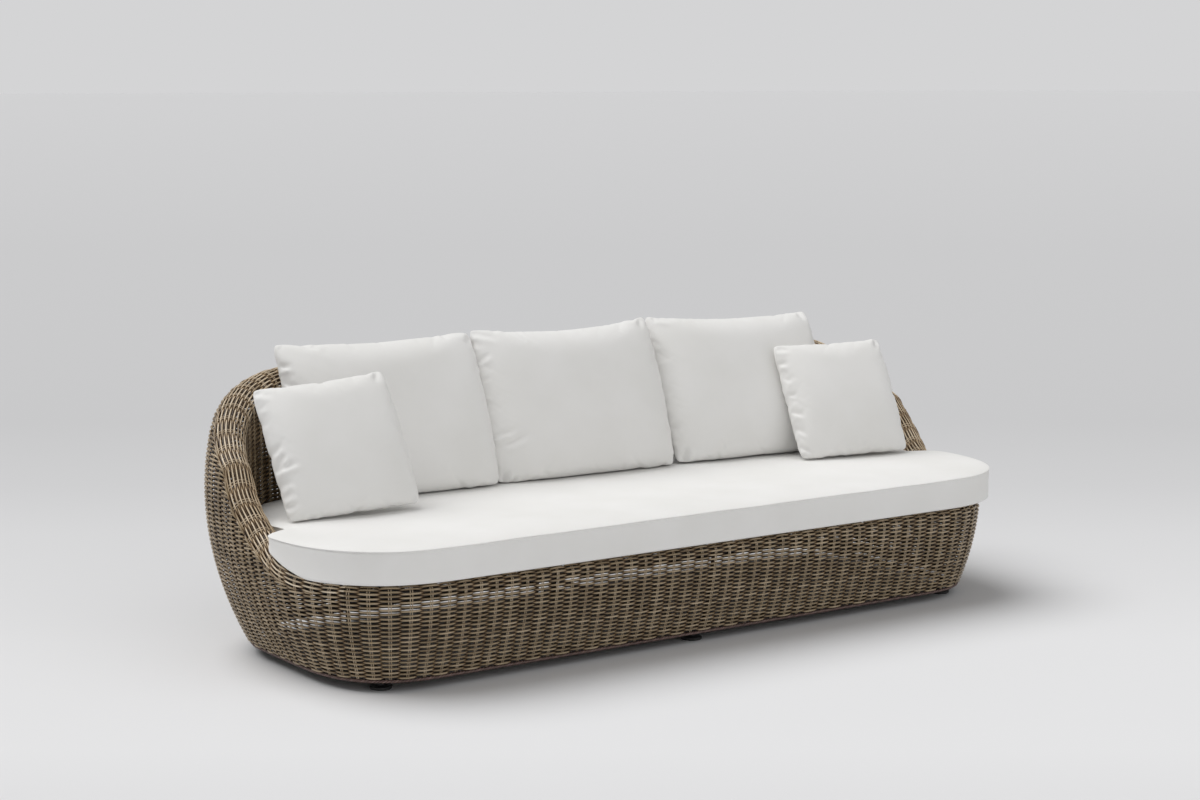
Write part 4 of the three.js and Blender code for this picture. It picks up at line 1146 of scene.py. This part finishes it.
def moulded_rubber(name, dark, light):
    """Black moulded rubber of the glides: dull, with a fine grain of about 2 mm and slight scuffs."""
    material, tree, where = new_material(name)
    grain = add_node(tree, "TexNoise", {"Scale": 1 / (2 * MM), "Detail": 4.0}, {"Vector": where["Object"]})
    colour = add_node(tree, "ValToRGB", {"stops": ((0.3, dark), (0.75, light))}, {"Fac": grain["Fac"]})
    surface = {"Roughness": 0.62, "IOR": 1.5}
    return finish_material(material, colour["Color"], grain["Fac"], 0.3, 0.3 * MM, surface)


def woven_canvas(name, dark, light):
    """White plain-woven outdoor canvas: matt, with a soft sheen. Threads 0.6 mm apart are too fine to show, so
    the weave is drawn 2 mm apart, with slow faint clouds of tone. A wave texture has 3.2 bands in a metre."""
    material, tree, where = new_material(name)
    thread, bands_a_metre = 2.0 * MM, 3.2
    warp, weft = (
        add_node(tree, "TexWave", {
            "wave_type": "BANDS", "bands_direction": direction, "Scale": 1 / thread / bands_a_metre,
            "Distortion": 0.6, "Detail": 1.0, "Detail Scale": 2.0}, {"Vector": where["Object"]})
        for direction in "XZ")
    threads = add_node(tree, "Math", {"operation": "ADD"}, {0: warp["Fac"], 1: weft["Fac"]})
    cloud = add_node(tree, "TexNoise", {"Scale": 5.0, "Detail": 4.0}, {"Vector": where["Object"]})
    colour = add_node(tree, "ValToRGB", {"stops": ((0.3, dark), (0.7, light))}, {"Fac": cloud["Fac"]})
    surface = {"Roughness": 0.9, "IOR": 1.45, "Sheen Weight": 0.12, "Sheen Roughness": 0.5}
    return finish_material(material, colour["Color"], threads[0], 0.16, 0.25 * MM, surface)


# Surroundings

def make_floor():
    """Pale seamless painted floor: its tone goes by the near distance over the distance ahead of the place where the
    photograph was taken, so it lies fixed on the floor and stays as it is from every side. Its bands are painted
    light: lightest at the sofa's distance, darker nearer and farther."""
    half = FLOOR_SIZE / 2
    points = np.array([[-half, -half, 0], [half, -half, 0], [half, half, 0], [-half, half, 0]], float)
    floor = mesh_piece("floor", points, [np.array([[0, 1, 2, 3]])], smooth=False)
    material, tree, where = new_material("painted_studio_floor")
    direction = Vector((np.sin(CAMERA_TURN_RIGHT), np.cos(CAMERA_TURN_RIGHT), 0))
    ahead = add_node(tree, "VectorMath", {"operation": "DOT_PRODUCT", 1: direction}, {0: where["Object"]})
    start = Vector(CAMERA_PLACE).dot(direction)
    distance = add_node(tree, "Math", {"operation": "SUBTRACT", 1: start}, {0: ahead["Value"]})
    near = add_node(tree, "Math", {"operation": "MAXIMUM", 1: FLOOR_NEAR}, {0: distance[0]})
    share = add_node(tree, "Math", {"operation": "DIVIDE", 0: FLOOR_NEAR}, {1: near[0]})
    # Painted light: the floor's bands of tone stand in for the studio light's fall-off.
    colour = add_node(tree, "ValToRGB", {"stops": FLOOR_PAINTED_LIGHT}, {"Fac": share[0]})
    shader = add_node(tree, "BsdfDiffuse", links={"Color": colour["Color"]})
    add_node(tree, "OutputMaterial", links={"Surface": shader[0]})
    floor.data.materials.append(material)


def make_lamp(name, level, height, side, spread):
    """Wide distant lamp: light on level ground, height and side in degrees (from +Y towards +X), and its spread."""
    height, side = np.radians(height), np.radians(side)
    data = bpy.data.lights.new(name, "SUN")
    data.energy = np.pi * level / np.sin(height)
    data.angle = np.radians(spread)
    lamp = bpy.data.objects.new(name, data)
    toward = Vector((np.sin(side) * np.cos(height), np.cos(side) * np.cos(height), np.sin(height)))
    lamp.rotation_euler = toward.to_track_quat("Z", "Y").to_euler()
    bpy.context.scene.collection.objects.link(lamp)


def make_lights():
    """Soft even light from all round, a wide lamp from above on the left and behind, and a weak one from the front.
    On level ground they add up to 1. The camera, gloss and glass see the backdrop instead of the light."""
    world = bpy.data.worlds.new("studio")
    bpy.context.scene.world = world
    world.use_nodes = True
    tree = world.node_tree
    tree.nodes.clear()
    light = add_node(tree, "Background", {"Color": (1, 1, 1, 1), "Strength": WORLD_LIGHT})
    seen = add_node(tree, "Background", {"Color": linear(BACKDROP), "Strength": 1.0})
    path = add_node(tree, "LightPath")
    shown = path["Is Camera Ray"]
    for ray in ("Is Glossy Ray", "Is Transmission Ray"):
        shown = add_node(tree, "Math", {"operation": "ADD", "use_clamp": True}, {0: shown, 1: path[ray]})[0]
    both = add_node(tree, "MixShader", links={0: shown, 1: light[0], 2: seen[0]})
    add_node(tree, "OutputWorld", links={"Surface": both[0]})
    for name, facts in LAMPS.items():
        make_lamp(name, **facts)


def dress(piece, material, body, slot, *nodes):
    """Gives a piece its material and its body, and hides the nodes that it stands for. The slot is not used."""
    piece.data.materials.append(material)
    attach(piece, body)
    if nodes:
        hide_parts(*nodes)


bpy.context.scene.view_settings.view_transform = "Standard"
make_camera()
make_floor()
make_lights()

strand_resin = extruded_resin("extruded_resin_strand", "#7B694F", "#98866A", "#B2A085", 0.33)
# Painted light: the rim's resin is the wall's resin, drawn lighter because the roll's top takes the light.
rim_resin_painted_light = extruded_resin("extruded_resin_rim_painted_light", "#A8967C", "#D0BFA4", "#E9DAC2", 0.3)
stake_resin = extruded_resin("extruded_resin_stake", "#A8967C", "#C0AE95", "#D6C6AE", 0.36)
braid_resin = extruded_resin("extruded_resin_border", "#5C4A48", "#75605D", "#8B7672", 0.45)
band_resin = extruded_resin("flat_resin_band", "#5F5142", "#6F6050", "#7E6E5D", 0.5)
coat = powder_coat("brown_powder_coat", "#3A3029", "#443930")
rubber = moulded_rubber("black_moulded_rubber", "#121212", "#232221")
canvas = woven_canvas("white_outdoor_canvas", "#E8E7E4", "#EDECEA")

panel_node = {"front": "front", "right": "right", "back_right": "back", "back_left": "back", "left": "left"}
for panel, node in panel_node.items():
    dress(make_wall(panel), strand_resin, "woven_shell", "woven_resin", "wall_weave_" + node)
    # The front roll lies under the cushion's overhang and keeps the wall's resin; the others take its lighter copy,
    # which is painted light.
    rim_material = strand_resin if panel == "front" else rim_resin_painted_light
    dress(make_rim(panel), rim_material, "woven_shell", "woven_resin", "rim_weave_" + node)
    dress(make_stakes(panel), stake_resin, "woven_shell", "woven_resin")
    if panel != "front":
        dress(make_lining(panel), strand_resin, "woven_shell", "woven_resin", "lining_weave_" + node)
dress(make_braid(), braid_resin, "woven_shell", "braid_resin", "bottom_braid")
dress(make_deck(), band_resin, "woven_shell", "woven_resin", "seat_deck")

seat = make_seat_cushion()
dress(seat, canvas, "seat_cushion_body", "cushion_cover", "seat_cushion")
for name, facts in LOOSE_CUSHIONS.items():
    cushion = make_loose_cushion(name, facts)
    dress(cushion, canvas, name + "_body", "cushion_cover", name)

for name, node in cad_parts.items():
    if not node.hide_render:
        finish = rubber if name.startswith("glide") else coat
        for place in range(len(node.data.materials)):
            node.data.materials[place] = finish
